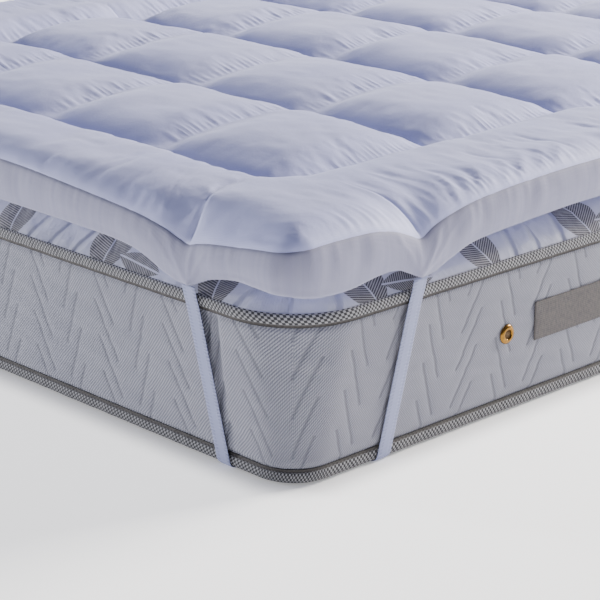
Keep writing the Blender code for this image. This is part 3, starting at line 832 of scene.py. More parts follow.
def notches(x, y):
    """The sharp fold that each elastic presses into the edge."""
    depth = np.zeros_like(x)
    for inward, aside in beside_elastics(x, y):
        cut = NOTCH_DEPTH * np.exp(-np.abs(aside) / NOTCH_WIDTH)
        swell = LOBE_HEIGHT * np.exp(-np.maximum(aside, 0.0) / LOBE_WIDTH) * (aside > 0)
        depth = depth + fade(inward, NOTCH_LENGTH) * (cut - swell)
    return depth


def slack(x, y):
    """Slow unevenness of the stuffing and shallow wrinkles of the cloth."""
    x, y = x + ALL_POSITIVE, y + ALL_POSITIVE
    return sum(height * noise_field(x, y, *layer) for height, *layer in (SWELL, WRINKLES))


def topper_height(x, y, share_y, placed_x, placed_y):
    """Height of the cloth's upper face at points of the even plan."""
    to_side, to_end = to_rim(x, y)
    level = edge_height(placed_x, placed_y, to_side, to_end)
    uneven = np.sin(STUFFING_WAVE_X * (x + WIDTH / 6)) * np.cos(STUFFING_WAVE_Y * y)
    share = crown_share(x, y, share_y)
    at_rim = np.clip(np.minimum(to_side, to_end) / RIM_CALM, 0.0, 1.0)
    raised = puckers(x, y, share_y) + drag_folds(x, y) + roll_streaks(x, y)
    raised = raised + slack(x, y) * np.clip(2 * share, 0, 1)
    return level + CROWN * (1.0 + CROWN_UNEVENNESS * uneven) * share + at_rim * (raised - notches(x, y))


# The cover's own wrinkles: a thin cloth, cut a little too large, is blown up over the pad while
# its seams and its rim are held.
SIM_CELLS_X = 34                # cells across a pocket
SIM_CELLS_Y = 40
SIM_FRAMES = 14
SIM_CLOTH = {
    "quality": 4,
    "mass": 0.15,
    "tension_stiffness": 25,
    "compression_stiffness": 8,
    "shear_stiffness": 8,
    "bending_stiffness": 0.02,
    "air_damping": 3,
    "use_pressure": True,
    "uniform_pressure_force": 4.0,
    "vertex_group_mass": "sewn",
    "shrink_min": -0.035,       # the cloth is cut too large by this share
}
SIM_START = 0.93                # the cloth swells, so it starts lower than the finished pad
SIM_SEAM_END = 0.020            # the deep seams are held this far into the long border rolls
SIM_CAP = 0.0060                # farthest that a wrinkle moves a point
SIM_BLUR = 4                    # cells; slower waves than this are left out
SIM_HELD_REACH = 3              # cells over which the seams still the cloth
SIM_SHARE = 0.38                # the cover is tighter than the trial cloth


def blurred(grid, reach):
    """Moving average over a grid of vectors, along both directions."""
    for axis in (0, 1):
        edges = [(0, 0)] * grid.ndim
        edges[axis] = (reach + 1, reach)
        sums = np.cumsum(np.pad(grid, edges, mode="edge"), axis=axis)
        low, high = [slice(None)] * grid.ndim, [slice(None)] * grid.ndim
        low[axis], high[axis] = slice(None, -(2 * reach + 1)), slice(2 * reach + 1, None)
        grid = (sums[tuple(high)] - sums[tuple(low)]) / (2 * reach + 1)
    return grid


def held_points(x, y):
    """Points of the simulated grid that do not move: rim, seams across X, deep seams along Y."""
    held, seam_columns, seam_rows = np.zeros((3, *x.shape), bool)
    held[[0, -1]] = True
    held[:, [0, -1]] = True
    seam_columns[::SIM_CELLS_X] = True
    seam_rows[:, ::SIM_CELLS_Y] = True
    inside = np.abs(x) < WIDTH / 2 - BORDER_COLUMN + SIM_SEAM_END
    return held | (seam_rows & inside) | (seam_columns & (seam_start(y) > 0.5))


def cells_from(held):
    """Steps from every point of the grid to the nearest held one, up to SIM_HELD_REACH."""
    steps = np.where(held, 0.0, float(SIM_HELD_REACH))
    for _ in range(SIM_HELD_REACH):
        for axis in (0, 1):
            for turn in (1, -1):
                steps = np.minimum(steps, np.roll(steps, turn, axis=axis) + 1.0)
    return steps


def settled_cloth(start, held):
    """Where the points of a grid of cloth end up when it is blown up."""
    scene = bpy.context.scene
    numbers = np.arange(held.size).reshape(held.shape)
    cover = new_mesh("cover_trial", start.reshape(-1, 3), grid_faces(numbers).tolist(), [])
    cover.vertex_groups.new(name="sewn").add(np.flatnonzero(held).tolist(), 1.0, "REPLACE")
    cloth = cover.modifiers.new("cloth", "CLOTH")
    for name, value in SIM_CLOTH.items():
        setattr(cloth.settings, name, value)
    cloth.settings.effector_weights.gravity = 0.0
    cloth.collision_settings.use_collision = False
    cloth.collision_settings.use_self_collision = False
    cloth.point_cache.frame_end = SIM_FRAMES
    for frame_number in range(1, SIM_FRAMES + 1):
        scene.frame_set(frame_number)
    settled = cover.evaluated_get(bpy.context.evaluated_depsgraph_get())
    ends = np.zeros(start.size, np.float32)
    settled.data.vertices.foreach_get("co", ends)
    trial = cover.data
    bpy.data.objects.remove(cover)
    bpy.data.meshes.remove(trial)
    scene.frame_set(1)
    return ends.reshape(start.shape).astype(float)


def simulated_wrinkles():
    """Lines of the simulated grid, and the small moves that the cloth makes at its points."""
    lines_x, _ = line_places(SEAMS_X, [SIM_CELLS_X] * COLUMNS)
    lines_y, shares_y = line_places(SEAMS_Y, [SIM_CELLS_Y] * ROWS)
    x, y = np.meshgrid(lines_x, lines_y, indexing="ij")
    placed_x, placed_y = plan_points(x, y)
    level = edge_height(placed_x, placed_y, *to_rim(x, y))
    share = crown_share(x, y, np.broadcast_to(shares_y, x.shape))
    start = np.stack((placed_x, placed_y, level + SIM_START * CROWN * share), axis=-1)
    held = held_points(x, y)
    moved = settled_cloth(start, held) - start
    wrinkles = moved - blurred(blurred(moved, SIM_BLUR), SIM_BLUR)
    loose = cells_from(held)[..., None] / SIM_HELD_REACH
    return lines_x, lines_y, SIM_CAP * np.tanh(SIM_SHARE * wrinkles * loose / SIM_CAP)


def curve_weights(t):
    """Shares of four neighbouring values in a smooth curve through the middle two."""
    return (
        (-t ** 3 + 2 * t ** 2 - t) / 2,
        (3 * t ** 3 - 5 * t ** 2 + 2) / 2,
        (-3 * t ** 3 + 4 * t ** 2 + t) / 2,
        (t ** 3 - t ** 2) / 2,
    )


def between_lines(wrinkles, x, y):
    """The simulated moves at points anywhere in the even plan."""
    lines_x, lines_y, moves = wrinkles

    def cell_and_weights(lines, at):
        cell = np.clip(np.searchsorted(lines, at, side="right") - 1, 0, len(lines) - 2)
        return cell, curve_weights((at - lines[cell]) / (lines[cell + 1] - lines[cell]))

    i, weights_x = cell_and_weights(lines_x, x)
    j, weights_y = cell_and_weights(lines_y, y)
    total = np.zeros((*x.shape, 3))
    for step_i, weight_x in enumerate(weights_x, start=-1):
        row = np.clip(i + step_i, 0, len(lines_x) - 1)
        for step_j, weight_y in enumerate(weights_y, start=-1):
            column = np.clip(j + step_j, 0, len(lines_y) - 1)
            total += (weight_x * weight_y)[:, None] * moves[row, column]
    return total


def outline_of(points):
    """Level unit vectors pointing out of a closed anticlockwise outline."""
    before, after = np.roll(points, 1, axis=0), np.roll(points, -1, axis=0)
    along = after[:, :2] - before[:, :2]
    normals = np.stack((along[:, 1], -along[:, 0]), axis=1)
    return normals / np.linalg.norm(normals, axis=1)[:, None]


def hem_heights(points, on_end):
    """Height of the hem below points of the outline; `on_end` marks those of the short ends."""
    along_side, along_end = from_corner(points[:, 0], points[:, 1])
    at_end = table_value(RIM["short"], along_end, HEM_COLUMN)
    at_side = table_value(RIM["long"], along_side, HEM_COLUMN)
    return np.where(on_end, at_end, at_side)


BORDER_LOW = 0.0280             # the border shows between these heights
BORDER_HIGH = 0.2075
# Mattress sections from the floor up: height, inset from the nominal side, corner radius.
MATTRESS_SECTIONS = np.array((
    (0.0000, 0.1700, 0.062),
    (0.0028, 0.1300, 0.062),
    (0.0035, 0.0140, 0.062),
    (0.0075, 0.0035, 0.062),
    (0.0250, 0.0035, 0.062),
    (BORDER_LOW, 0.0000, 0.064),
    (BORDER_HIGH, 0.0000, 0.112),
    (0.2105, 0.0035, 0.114),
    (0.2305, 0.0035, 0.114),
    (0.2400, 0.0120, 0.114),
    (0.2575, 0.0350, 0.114),
    (0.2730, 0.0800, 0.114),
    (0.2810, 0.1600, 0.114),
))
SHOULDER = MATTRESS_SECTIONS[-3:]


def puckered_strips(lines_x):
    """Which strips between two X lines carry the fine mesh."""
    middle = (lines_x[1:] + lines_x[:-1]) / 2
    fine = np.abs(middle) > HALF_X - FINE_EDGE
    for seam in SEAMS_X[1:-1]:
        fine |= (middle < seam) & (middle > seam - FINE_REACH)
    return fine


def numbered_points(line_fine, places_y):
    """Numbers of the points on each X line, and the line and place of each; coarse lines keep fewer."""
    number = -np.ones((len(line_fine), places_y), int)
    picks, total = [], 0
    for i, fine in enumerate(line_fine):
        rows = np.arange(0, places_y, 1 if fine else COARSE_STEP)
        number[i, rows] = total + np.arange(len(rows))
        picks.append(np.stack((np.full(len(rows), i), rows), axis=1))
        total += len(rows)
    return number, np.concatenate(picks)


def strip_faces(fine, line_fine, number):
    """Faces of the topper's upper side; a coarse strip takes in the points of a fine line beside it."""
    faces = []
    for i, strip_fine in enumerate(fine):
        low, high = number[i], number[i + 1]
        if strip_fine:
            faces += np.stack((low[:-1], high[:-1], high[1:], low[1:]), axis=1).tolist()
            continue
        for j in range(0, len(low) - 1, COARSE_STEP):
            end = j + COARSE_STEP
            right = high[j + 1:end].tolist() if line_fine[i + 1] else []
            left = low[end - 1:j:-1].tolist() if line_fine[i] else []
            faces.append([low[j], high[j], *right, high[end], low[end], *left])
    return faces


def edge_rings(seam, hem, plan_x, plan_y):
    """Rings behind the band from the upper seam to the hem, then inward over the mattress."""
    outward = outline_of(seam)
    rings = []
    for share in (0.25, 0.5, 0.75, 1.0):
        out = BAND_BULGE * math.sin(math.pi * share)
        rings.append(np.column_stack((seam[:, :2] + outward * out, seam[:, 2] + (hem - seam[:, 2]) * share)))
    rest = TABLE_TOP + GAP
    for height, inset, _radius in SHOULDER:
        droop = (TABLE_TOP - height) / (TABLE_TOP - TOP_TAPE_TOP)
        reach = inset + OVERHANG
        ring_x, ring_y = plan_x * (HALF_X - reach) / HALF_X, plan_y * (HALF_Y - reach) / HALF_Y
        rings.append(np.column_stack((ring_x, ring_y, rest + (hem - rest) * droop)))
    return rings


def make_topper(satin):
    """The stuffed topper: its upper side with folds and wrinkles, its edge and its hollow underside."""
    cells_x = [BORDER_CELLS, FOLDED_CELLS] + [POCKET_CELLS] * (COLUMNS - 4) + [FOLDED_CELLS, BORDER_CELLS]
    cells_y = [FINE_BORDER_ROW] + [FINE_ROW] * (ROWS - 2) + [FINE_BORDER_ROW]
    lines_x, _ = line_places(SEAMS_X, cells_x)
    lines_y, shares_y = line_places(SEAMS_Y, cells_y)
    fine = puckered_strips(lines_x)
    line_fine = np.append(fine, False) | np.append(False, fine)
    number, picks = numbered_points(line_fine, len(lines_y))
    x, y, share_y = lines_x[picks[:, 0]], lines_y[picks[:, 1]], shares_y[picks[:, 1]]
    placed_x, placed_y = plan_points(x, y)
    z = topper_height(x, y, share_y, placed_x, placed_y)
    top = np.column_stack((placed_x, placed_y, z)) + between_lines(simulated_wrinkles(), x, y)
    faces = strip_faces(fine, line_fine, number)

    last_i, last_j = len(lines_x) - 1, len(lines_y) - 1
    walk = [(i, 0) for i in range(last_i)] + [(last_i, j) for j in range(last_j)]
    walk += [(i, last_j) for i in range(last_i, 0, -1)] + [(0, j) for j in range(last_j, 0, -1)]
    walk_i, walk_j = np.array(walk).T
    previous = number[walk_i, walk_j]
    seam = top[previous]
    hem = hem_heights(seam, (walk_j == 0) | (walk_j == last_j))
    rings = edge_rings(seam, hem, lines_x[walk_i], lines_y[walk_j])
    for k in range(len(rings)):
        current = len(top) + k * len(walk) + np.arange(len(walk))
        faces += np.stack((current, np.roll(current, -1), np.roll(previous, -1), previous), axis=1).tolist()
        previous = current
    faces.append(previous[::-1].tolist())
    return new_mesh("topper_cloth", np.concatenate([top, *rings]), faces, [satin])


# ---- band --------------------------------------------------------------------------------

BAND_BULGE = 0.006
BAND_THICKNESS = 0.0015
BAND_HEIGHT = 0.055
BAND_STEP = 0.004
BAND_ROWS = 15
BAND_INNER_ROWS = 4
HEM_TURN = 0.009                # the turned hem stands out below its stitching
HEM_RAISE = 0.0007
HEM_STITCH = 0.0008             # and its stitching is sunk
TUCK = 0.0014                   # the band is drawn in at its upper seam
CORNER_FOLD = 0.0048
# Folds that fan out from an elastic's end: how far each leans, height and half width.
BAND_FOLDS = (
    (-0.90, 0.0016, 0.0055),
    (-0.15, 0.0014, 0.0045),
    (0.75, 0.0020, 0.0060),
    (1.60, 0.0012, 0.0060),
)


def band_outline():
    """Places round the even plan for the band, closer together than the topper's mesh."""
    steps_x, steps_y = round(2 * HALF_X / BAND_STEP), round(2 * HALF_Y / BAND_STEP)
    x = np.linspace(-HALF_X, HALF_X, steps_x + 1)[:-1]
    y = np.linspace(-HALF_Y, HALF_Y, steps_y + 1)[:-1]
    end, side = np.full(steps_x, HALF_Y), np.full(steps_y, HALF_X)
    on_end = np.tile(np.repeat((True, False), (steps_x, steps_y)), 2)
    return np.concatenate((x, side, -x, -side)), np.concatenate((-end, y, end, -y)), on_end


def band_relief(along_corner, on_end, down, along):
    """How far the band's face stands out, for its folds and threads."""
    relief = BAND_BULGE * np.sin(math.pi * down) ** 0.9
    relief = relief - TUCK * hill(down, 0.05)
    relief = relief + 0.0011 * noise_line(along, 0.030, 41) * np.sin(math.pi * down)
    relief = relief + 0.0006 * noise_line(along, 0.0085, 42) * fade(down, 0.8)
    aside = along_corner - np.where(on_end, STRAP_FEET["short"]["hem"], STRAP_FEET["long"]["hem"])
    for lean_over, height, half in BAND_FOLDS:
        line = aside - lean_over * (1 - down) * BAND_HEIGHT
        relief = relief + height * hill(line, half) * np.clip(1.15 - (1 - down) * 0.75, 0, 1)
    corner_fold = CORNER_FOLD * hill(along_corner, 0.0090)
    return relief - corner_fold * np.sin(math.pi * np.clip(down, 0.03, 0.97))


def make_band(material):
    """The plain band round the topper's edge, and its length."""
    plan_x, plan_y, on_end = band_outline()
    placed_x, placed_y = plan_points(plan_x, plan_y)
    seam_z = topper_height(plan_x, plan_y, np.zeros_like(plan_x), placed_x, placed_y)
    seam = np.column_stack((placed_x, placed_y, seam_z))
    outward = outline_of(seam)
    hem = hem_heights(seam, on_end)
    count = len(seam)
    along, total = lengths_around(seam[:, :2])
    along_corner = np.where(on_end, HALF_X - np.abs(placed_x), HALF_Y - np.abs(placed_y))

    def ring(down, out):
        height = seam[:, 2] + (hem - seam[:, 2]) * down
        return np.column_stack((seam[:, :2] + outward * np.broadcast_to(out, (count,))[:, None], height))

    rings, across = [], []
    for row in range(BAND_ROWS + 1):
        down = row / BAND_ROWS
        drop = (seam[:, 2] - hem) * (1 - down)
        relief = band_relief(along_corner, on_end, down, along)
        turned = HEM_RAISE * np.clip((HEM_TURN - drop) / 0.0015, 0.0, 1.0)
        stitched = HEM_STITCH * hill(drop - HEM_TURN, 0.0012)
        rings.append(ring(down, GAP + BAND_THICKNESS + relief + turned - stitched))
        across.append(down * 0.06)
    for row in range(BAND_INNER_ROWS, -1, -1):
        down = row / BAND_INNER_ROWS
        rings.append(ring(down, GAP + BAND_BULGE * math.sin(math.pi * down) * 0.9 - TUCK * float(row == 0)))
        across.append(0.06 + 0.002 * row)
    faces = [face[::-1] for face in ring_faces(len(rings), count, closed=True)]
    band = new_mesh("band_cloth", np.concatenate(rings), faces, [material])
    lengths_as_uv(band, np.tile(along, len(rings)), np.repeat(across, count), total)
    return band, total


# ---- mattress ----------------------------------------------------------------------------

ARC_STEPS = 16
MATTRESS_CELL = 0.0047
LEAST_RADIUS = 0.030
BORDER_ROWS_UP = 38
PANEL_ROWS_UP = 4
BORDER_EASE = 0.012             # relief dies out over this distance from a tape
BORDER_SINK = 0.0010
TOLERANCE = 0.0001
CORNER_SIGNS = np.array(((1, 1), (-1, 1), (-1, -1), (1, -1)))
REFERENCE_RADIUS = 0.088        # the mattress corner half way up
STRAP_WIDTH = 0.025
HEM_LEVEL = 0.245               # about where the elastics are sewn on
# Hollow beside each elastic, towards the corner: width at the top, and depth as a share of it.
HOLLOWS = {"short": (0.028, 0.30), "long": (0.016, 0.20)}
HOLLOW_LOW, HOLLOW_RISE = 0.050, 0.150  # it starts at this height and widens over that one
HOLLOW_EDGE = 0.014
HOLLOW_SLOPE = 0.022

# Quilting of the border: slanting strokes, mirrored about upright axes.
QUILT_DEPTH = 0.0010
QUILT_WIDTH = 0.0075
QUILT_PERIODS = 46
QUILT_PHASE = 0.2065            # an axis, counted from the middle of the near corner
STROKE_START = 0.0205
STROKE_SLOPE = 0.45
STROKE_DROP = 0.080
STROKE_SPACING = 0.0525
STROKE_TOP = 0.067


def mattress_columns():
    """Columns round the mattress: corner, share of its arc, share of the straight after it."""
    columns = []
    for corner in range(4):
        columns += [(corner, step / ARC_STEPS, 0.0) for step in range(ARC_STEPS)]
        steps = round((LENGTH if corner % 2 else WIDTH) / MATTRESS_CELL)
        columns += [(corner, 1.0, step / steps) for step in range(steps)]
    return np.array(columns)


ROUND = mattress_columns()


def rounded_outline(inset, radius):
    """Places and outward directions of a level rounded rectangle, anticlockwise."""
    bend = max(radius - inset, LEAST_RADIUS)
    centre = np.array((WIDTH / 2 - inset - bend, LENGTH / 2 - inset - bend))
    corner = ROUND[:, 0].astype(int)
    angle = math.pi / 2 * (corner + ROUND[:, 1])
    outward = np.column_stack((np.cos(angle), np.sin(angle)))
    after = (corner + 1) % 4
    here = CORNER_SIGNS[corner] * centre + bend * outward
    turned = math.pi / 2 * (corner + 1)
    there = CORNER_SIGNS[after] * centre + bend * np.column_stack((np.cos(turned), np.sin(turned)))
    share = ROUND[:, 2:3]
    return here * (1 - share) + there * share, outward


def lengths_round():
    """Length along the border at each column, from the middle of the near corner."""
    points, _ = rounded_outline(0.0, REFERENCE_RADIUS)
    along, total = lengths_around(points)
    near = np.flatnonzero((ROUND[:, 0] == 3) & (ROUND[:, 1] == 0.5))[0]
    return (along - along[near]) % total, total


ALONG, PERIMETER = lengths_round()


def quilting_distance(along, height, lesser, greater, hypotenuse):
    """Distance of border places, as arrays or as material terms, from the nearest quilted stroke."""
    period = PERIMETER / QUILT_PERIODS
    folded = abs((along - (QUILT_PHASE - period / 2)) % period - period / 2)
    below = (STROKE_TOP - height) % STROKE_SPACING
    nearest = 1.0
    for extra in (0.0, STROKE_SPACING):
        drop = below + extra
        past = greater(drop - STROKE_DROP, 0.0)
        aside = folded - STROKE_START - lesser(drop, STROKE_DROP) * STROKE_SLOPE
        nearest = lesser(hypotenuse(aside / math.hypot(1.0, STROKE_SLOPE), past), nearest)
    return nearest


def strap_hollow(height, outward, points):
    """How deep the border lies beside and behind the elastics, on the side of the corner."""
    depth = np.zeros(len(points))
    along_side, along_end = from_corner(points[:, 0], points[:, 1])
    for side, along, facing in (("short", along_end, outward[:, 1]), ("long", along_side, outward[:, 0])):
        feet = STRAP_FEET[side]
        wide, steep = HOLLOWS[side]
        middle = feet["floor"] + (feet["hem"] - feet["floor"]) * height / HEM_LEVEL
        width = wide * np.clip((height - HOLLOW_LOW) / HOLLOW_RISE, 0.0, 1.0) ** 0.8
        toward = middle - STRAP_WIDTH / 2 - along
        near, far = toward + STRAP_WIDTH * 0.9, toward - width + HOLLOW_EDGE
        across = (1.0 - fade(near, HOLLOW_EDGE)) * fade(far, HOLLOW_SLOPE)
        depth = np.maximum(depth, np.where(np.abs(facing) > 0.999, steep * width * across, 0.0))
    return depth


def in_panel(height):
    """Whether a height belongs to the top panel, above the upper tape."""
    return height >= TOP_TAPE_TOP - TOLERANCE


def section_rows():
    """Rows up the mattress: height, inset and corner radius."""
    rows = []
    for low, high in zip(MATTRESS_SECTIONS, MATTRESS_SECTIONS[1:]):
        steps = BORDER_ROWS_UP if low[0] == BORDER_LOW else PANEL_ROWS_UP if in_panel(low[0]) else 1
        rows += [low + (high - low) * step / steps for step in range(steps)]
    return np.array(rows + [MATTRESS_SECTIONS[-1]])


def border_depth(height, flat, outward):
    """How deep one row of the border lies: quilting, hollows at the elastics, slow unevenness."""
    ease = min((height - BORDER_LOW) / BORDER_EASE, (BORDER_HIGH - height) / BORDER_EASE, 1.0)
    near = quilting_distance(ALONG, height, np.minimum, np.maximum, np.hypot)
    groove = QUILT_DEPTH * hill(near, QUILT_WIDTH) * ease
    uneven = 0.0007 * (1 + noise_line(ALONG + 5 * height, 0.045, 61)) * ease
    return groove + strap_hollow(height, outward, flat) + BORDER_SINK * (1 - ease) + uneven


def make_mattress(knit, panel):
    """The mattress: knitted border, quilted, and the plush panel that slopes up from the upper tape."""
    rows = section_rows()
    count = len(ROUND)
    points, across = [], []
    climbed, before = 0.0, rows[0]
    for row in rows:
        height, inset, radius = row
        flat, outward = rounded_outline(inset, radius)
        level = np.full(count, height)
        if BORDER_LOW <= height <= BORDER_HIGH:
            flat = flat - outward * border_depth(height, flat, outward)[:, None]
        elif height > TOP_TAPE_TOP + 0.001 and inset < MATTRESS_SECTIONS[-1, 1]:
            puff = 0.0030 * noise_field(ALONG, level * 3, 0.11, 0.12, 63)
            level = level + np.minimum(puff, 0.0) * min((height - TOP_TAPE_TOP) / 0.02, 1.0)
        points.append(np.column_stack((flat, level)))
        if height > TOP_TAPE_TOP:
            climbed += math.hypot(*(row - before)[:2])
        before = row
        across.append(climbed if in_panel(height) else height)
    faces = ring_faces(len(rows), count)
    last = (len(rows) - 1) * count
    faces += [list(range(count))[::-1], list(range(last, last + count))]
    slots = np.append(np.repeat(in_panel(rows[:-1, 0]), count), (False, True)).astype(np.int32)
    mattress = new_mesh("mattress_cover", np.concatenate(points), faces, [knit, panel], slots)
    lengths_as_uv(mattress, np.tile(ALONG, len(rows)), np.repeat(across, count), PERIMETER)
    return mattress


# ---- edge tapes --------------------------------------------------------------------------

TAPE_SEAT = 0.0035
TAPE_RADIUS = {"tape_top": 0.114, "tape_bottom": 0.062}
TAPE_SECTION = np.array((
    (0.0000, 0.0000),
    (0.0014, 0.0000),
    (0.0017, 0.0035),
    (0.0042, 0.0055),
    (0.0053, 0.0115),
    (0.0042, 0.0172),
    (0.0016, 0.0195),
    (0.0000, 0.0195),
))
TAPE_SPLITS = 3
TAPE_SINK = 0.0006
FLANGE_OUT = 0.002              # the flange stands out less than this
FLANGE_TOP = 0.0042


def tape_section():
    """Points round a tape's section, out from its seat and up; its roll is smoothed."""
    section = []
    closed = np.vstack((TAPE_SECTION, TAPE_SECTION[:1]))
    for start, end in zip(closed, closed[1:]):
        section += [start + (end - start) * step / TAPE_SPLITS for step in range(TAPE_SPLITS)]
    section = np.array(section)
    smoothed = (np.roll(section, 1, axis=0) + 2 * section + np.roll(section, -1, axis=0)) / 4
    return np.where(section[:, :1] > FLANGE_OUT, smoothed, section)


def make_tape(name, material, low, high):
    """One edge tape, its woven roll and its flange, swept round the mattress."""
    section = tape_section()
    count = len(ROUND)
    uneven = 0.0005 * noise_line(ALONG, 0.012, 71) + 0.0004 * noise_line(ALONG, 0.05, 72)
    points = []
    for out, rise in section:
        level = low + rise if name == "tape_top" else high - rise
        flat, outward = rounded_outline(TAPE_SEAT - GAP - out, TAPE_RADIUS[name])
        waver = (uneven - TAPE_SINK) * min(out / FLANGE_OUT, 1.0)
        points.append(np.column_stack((flat + outward * waver[:, None], np.full(count, level))))
    faces = ring_faces(len(section), count, closed=True)
    if name == "tape_bottom":
        faces = [face[::-1] for face in faces]
    tape = new_mesh(name + "_weave", np.concatenate(points), faces, [material])
    lengths_as_uv(tape, np.tile(ALONG, len(section)), np.repeat(lengths_to(section), count), PERIMETER)
    flange = tape.data.attributes.new("flange", "FLOAT", "POINT")
    flange.data.foreach_set("value", np.repeat(section[:, 1] < FLANGE_TOP, count).astype(np.float32))
    return tape


# ---- corner elastics ---------------------------------------------------------------------

STRAP_THICKNESS = 0.0012
STRAP_OUT = 0.0031
STRAP_OUT_AT_HEM = 0.0042
STRAP_UNDER_HEIGHT = 0.0010
STRAP_BEND_RADIUS = 0.008
STRAP_UNDER_EASE = 0.38
STRAP_STEP = 0.004
BEND_LENGTH = STRAP_BEND_RADIUS * math.pi / 2
BEND_START = STRAP_OUT - STRAP_BEND_RADIUS
BEND_TOP = STRAP_UNDER_HEIGHT + STRAP_BEND_RADIUS
EDGE_THIN = np.array((-1.0, -0.93, -0.72, -0.36, 0.0, 0.36, 0.72, 0.93, 1.0))


def wrapped(run):
    """Outward place, height and facing of the elastic at a length up its run."""
    if run < BEND_LENGTH:
        angle = run / STRAP_BEND_RADIUS
        out = BEND_START + STRAP_BEND_RADIUS * math.sin(angle)
        return out, BEND_TOP - STRAP_BEND_RADIUS * math.cos(angle), math.sin(angle), -math.cos(angle)
    height = BEND_TOP + run - BEND_LENGTH
    away = 1.0 - float(fade(height - TOP_TAPE_LOW, TOP_TAPE_TOP - TOP_TAPE_LOW))
    return STRAP_OUT + (STRAP_OUT_AT_HEM - STRAP_OUT) * away, height, 1.0, 0.0


def strap_top(side):
    """Height of the elastic's sewn end, under the lowest part of the hem above it."""
    reach = STRAP_FEET[side]["hem"] + STRAP_WIDTH * np.linspace(-0.5, 0.5, 5)
    return float(table_value(RIM[side], reach, HEM_COLUMN).min()) - GAP


def strap_side(side):
    """Stations up one side: middle along the side, out, height, facing; half level width and slant."""
    feet = STRAP_FEET[side]
    top_run = strap_top(side) - BEND_TOP + BEND_LENGTH
    slant = math.atan((feet["hem"] - feet["floor"]) / top_run)
    steps = round(top_run / STRAP_STEP)
    runs = [top_run * step / steps for step in range(steps + 1)]
    stations = [(feet["floor"] + run * math.tan(slant), *wrapped(run)) for run in runs]
    return stations, STRAP_WIDTH / 2 / math.cos(slant), slant


def elastic_ring(point_at):
    """Points round one section; `point_at` places a share of the half width and a signed depth."""
    ring = []
    for face in (1, -1):
        for share in EDGE_THIN * face:
            rounded = 1.0 - 0.65 * abs(share) ** 8
            ring.append(point_at(share, STRAP_THICKNESS / 2 * rounded * face))
    return ring


def make_strap(name, sign_x, sign_y, material):
    """One elastic, down the short end, under the corner and up the long side, and its length."""
    short, short_half, short_slant = strap_side("short")
    long, long_half, long_slant = strap_side("long")
    start = Vector((STRAP_FEET["short"]["floor"], -BEND_START))
    end = Vector((-BEND_START, STRAP_FEET["long"]["floor"]))
    handle = (end - start).length * STRAP_UNDER_EASE
    leave = start + handle * Vector((-math.sin(short_slant), math.cos(short_slant)))
    arrive = end + handle * Vector((math.cos(long_slant), -math.sin(long_slant)))
    under = round((end - start).length / STRAP_STEP)

    sections = []
    for middle, out, height, push, lift in reversed(short):
        sections.append(elastic_ring(lambda share, depth: (
            middle + short_half * share, -out - push * depth, height + lift * depth,
        )))
    for step in range(1, under):
        t = step / under
        back = 1.0 - t
        middle = back ** 3 * start + 3 * back ** 2 * t * leave + 3 * back * t ** 2 * arrive + t ** 3 * end
        heading = back ** 2 * (leave - start) + 2 * back * t * (arrive - leave) + t ** 2 * (end - arrive)
        heading.normalize()
        across = Vector((heading.y, -heading.x)) * STRAP_WIDTH / 2
        sections.append(elastic_ring(lambda share, depth: (
            *(middle - across * share), STRAP_UNDER_HEIGHT - depth,
        )))
    for middle, out, height, push, lift in long:
        sections.append(elastic_ring(lambda share, depth: (
            -out - push * depth, middle - long_half * share, height + lift * depth,
        )))

    points = np.array(sections)
    points[..., 0] = sign_x * (WIDTH / 2 - points[..., 0])
    points[..., 1] = sign_y * (LENGTH / 2 - points[..., 1])
    total, count = points.shape[:2]
    faces = ring_faces(total, count)
    faces += [list(range(count))[::-1], list(range((total - 1) * count, total * count))]
    if sign_x * sign_y > 0:
        faces = [face[::-1] for face in faces]
    along = lengths_to(points.mean(axis=1))
    across = np.concatenate((EDGE_THIN, -EDGE_THIN)) * STRAP_WIDTH / 2
    strap = new_mesh(name + "_elastic", points.reshape(-1, 3), faces, [material])
    lengths_as_uv(strap, np.repeat(along, count), np.tile(across, total))
    return strap, float(along[-1])


# ---- vents and patch ---------------------------------------------------------------------

VENT_PROFILE = (
    (0.0066, 0.0012),
    (0.0068, 0.0026),
    (0.0074, 0.0033),
    (0.0088, 0.0036),
    (0.0106, 0.0034),
    (0.0126, 0.0026),
    (0.0141, 0.0013),
    (0.0145, 0.0005),
    (0.0145, 0.0000),
)
VENT_STEPS = 64
GAUZE_RINGS = 6
GAUZE_RADIUS = 0.0068
GAUZE_HUB = 0.0004
GAUZE_OUT = 0.0012
GAUZE_RISE = 0.0010
PATCH_CELL = 0.004


def lathe(name, profile, material, side, middle, closed_centre):
    """Turn a profile of (radius, out) about an axis that points out of a mattress side."""
    angles = 2 * math.pi * np.arange(VENT_STEPS) / VENT_STEPS
    points = []
    for radius, out in profile:
        across, up = middle.y + radius * np.cos(angles), middle.z + radius * np.sin(angles)
        points.append(np.column_stack((np.full(VENT_STEPS, middle.x + side * out), across, up)))
    faces = ring_faces(len(profile), VENT_STEPS)
    if closed_centre:
        faces.append(list(range(VENT_STEPS))[::-1])
    if side > 0:
        faces = [face[::-1] for face in faces]
    return new_mesh(name, np.concatenate(points), faces, [material])


def make_vent(name, brass, gauze):
    """One vent: a brass ring, and the domed gauze inside it."""
    low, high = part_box(name)
    side = 1 if low.x > 0 else -1
    middle = (low + high) / 2
    middle.x = low.x if side > 0 else high.x
    ring = lathe(name + "_ring", VENT_PROFILE, brass, side, middle, False)
    dome = []
    for k in range(GAUZE_RINGS, -1, -1):
        share = k / GAUZE_RINGS
        out = GAUZE_OUT + GAUZE_RISE * math.sin(math.pi / 2 * share)
        dome.append((max(GAUZE_RADIUS * (1 - share), GAUZE_HUB), out))
    return ring, lathe(name + "_gauze", dome, gauze, side, middle, True)


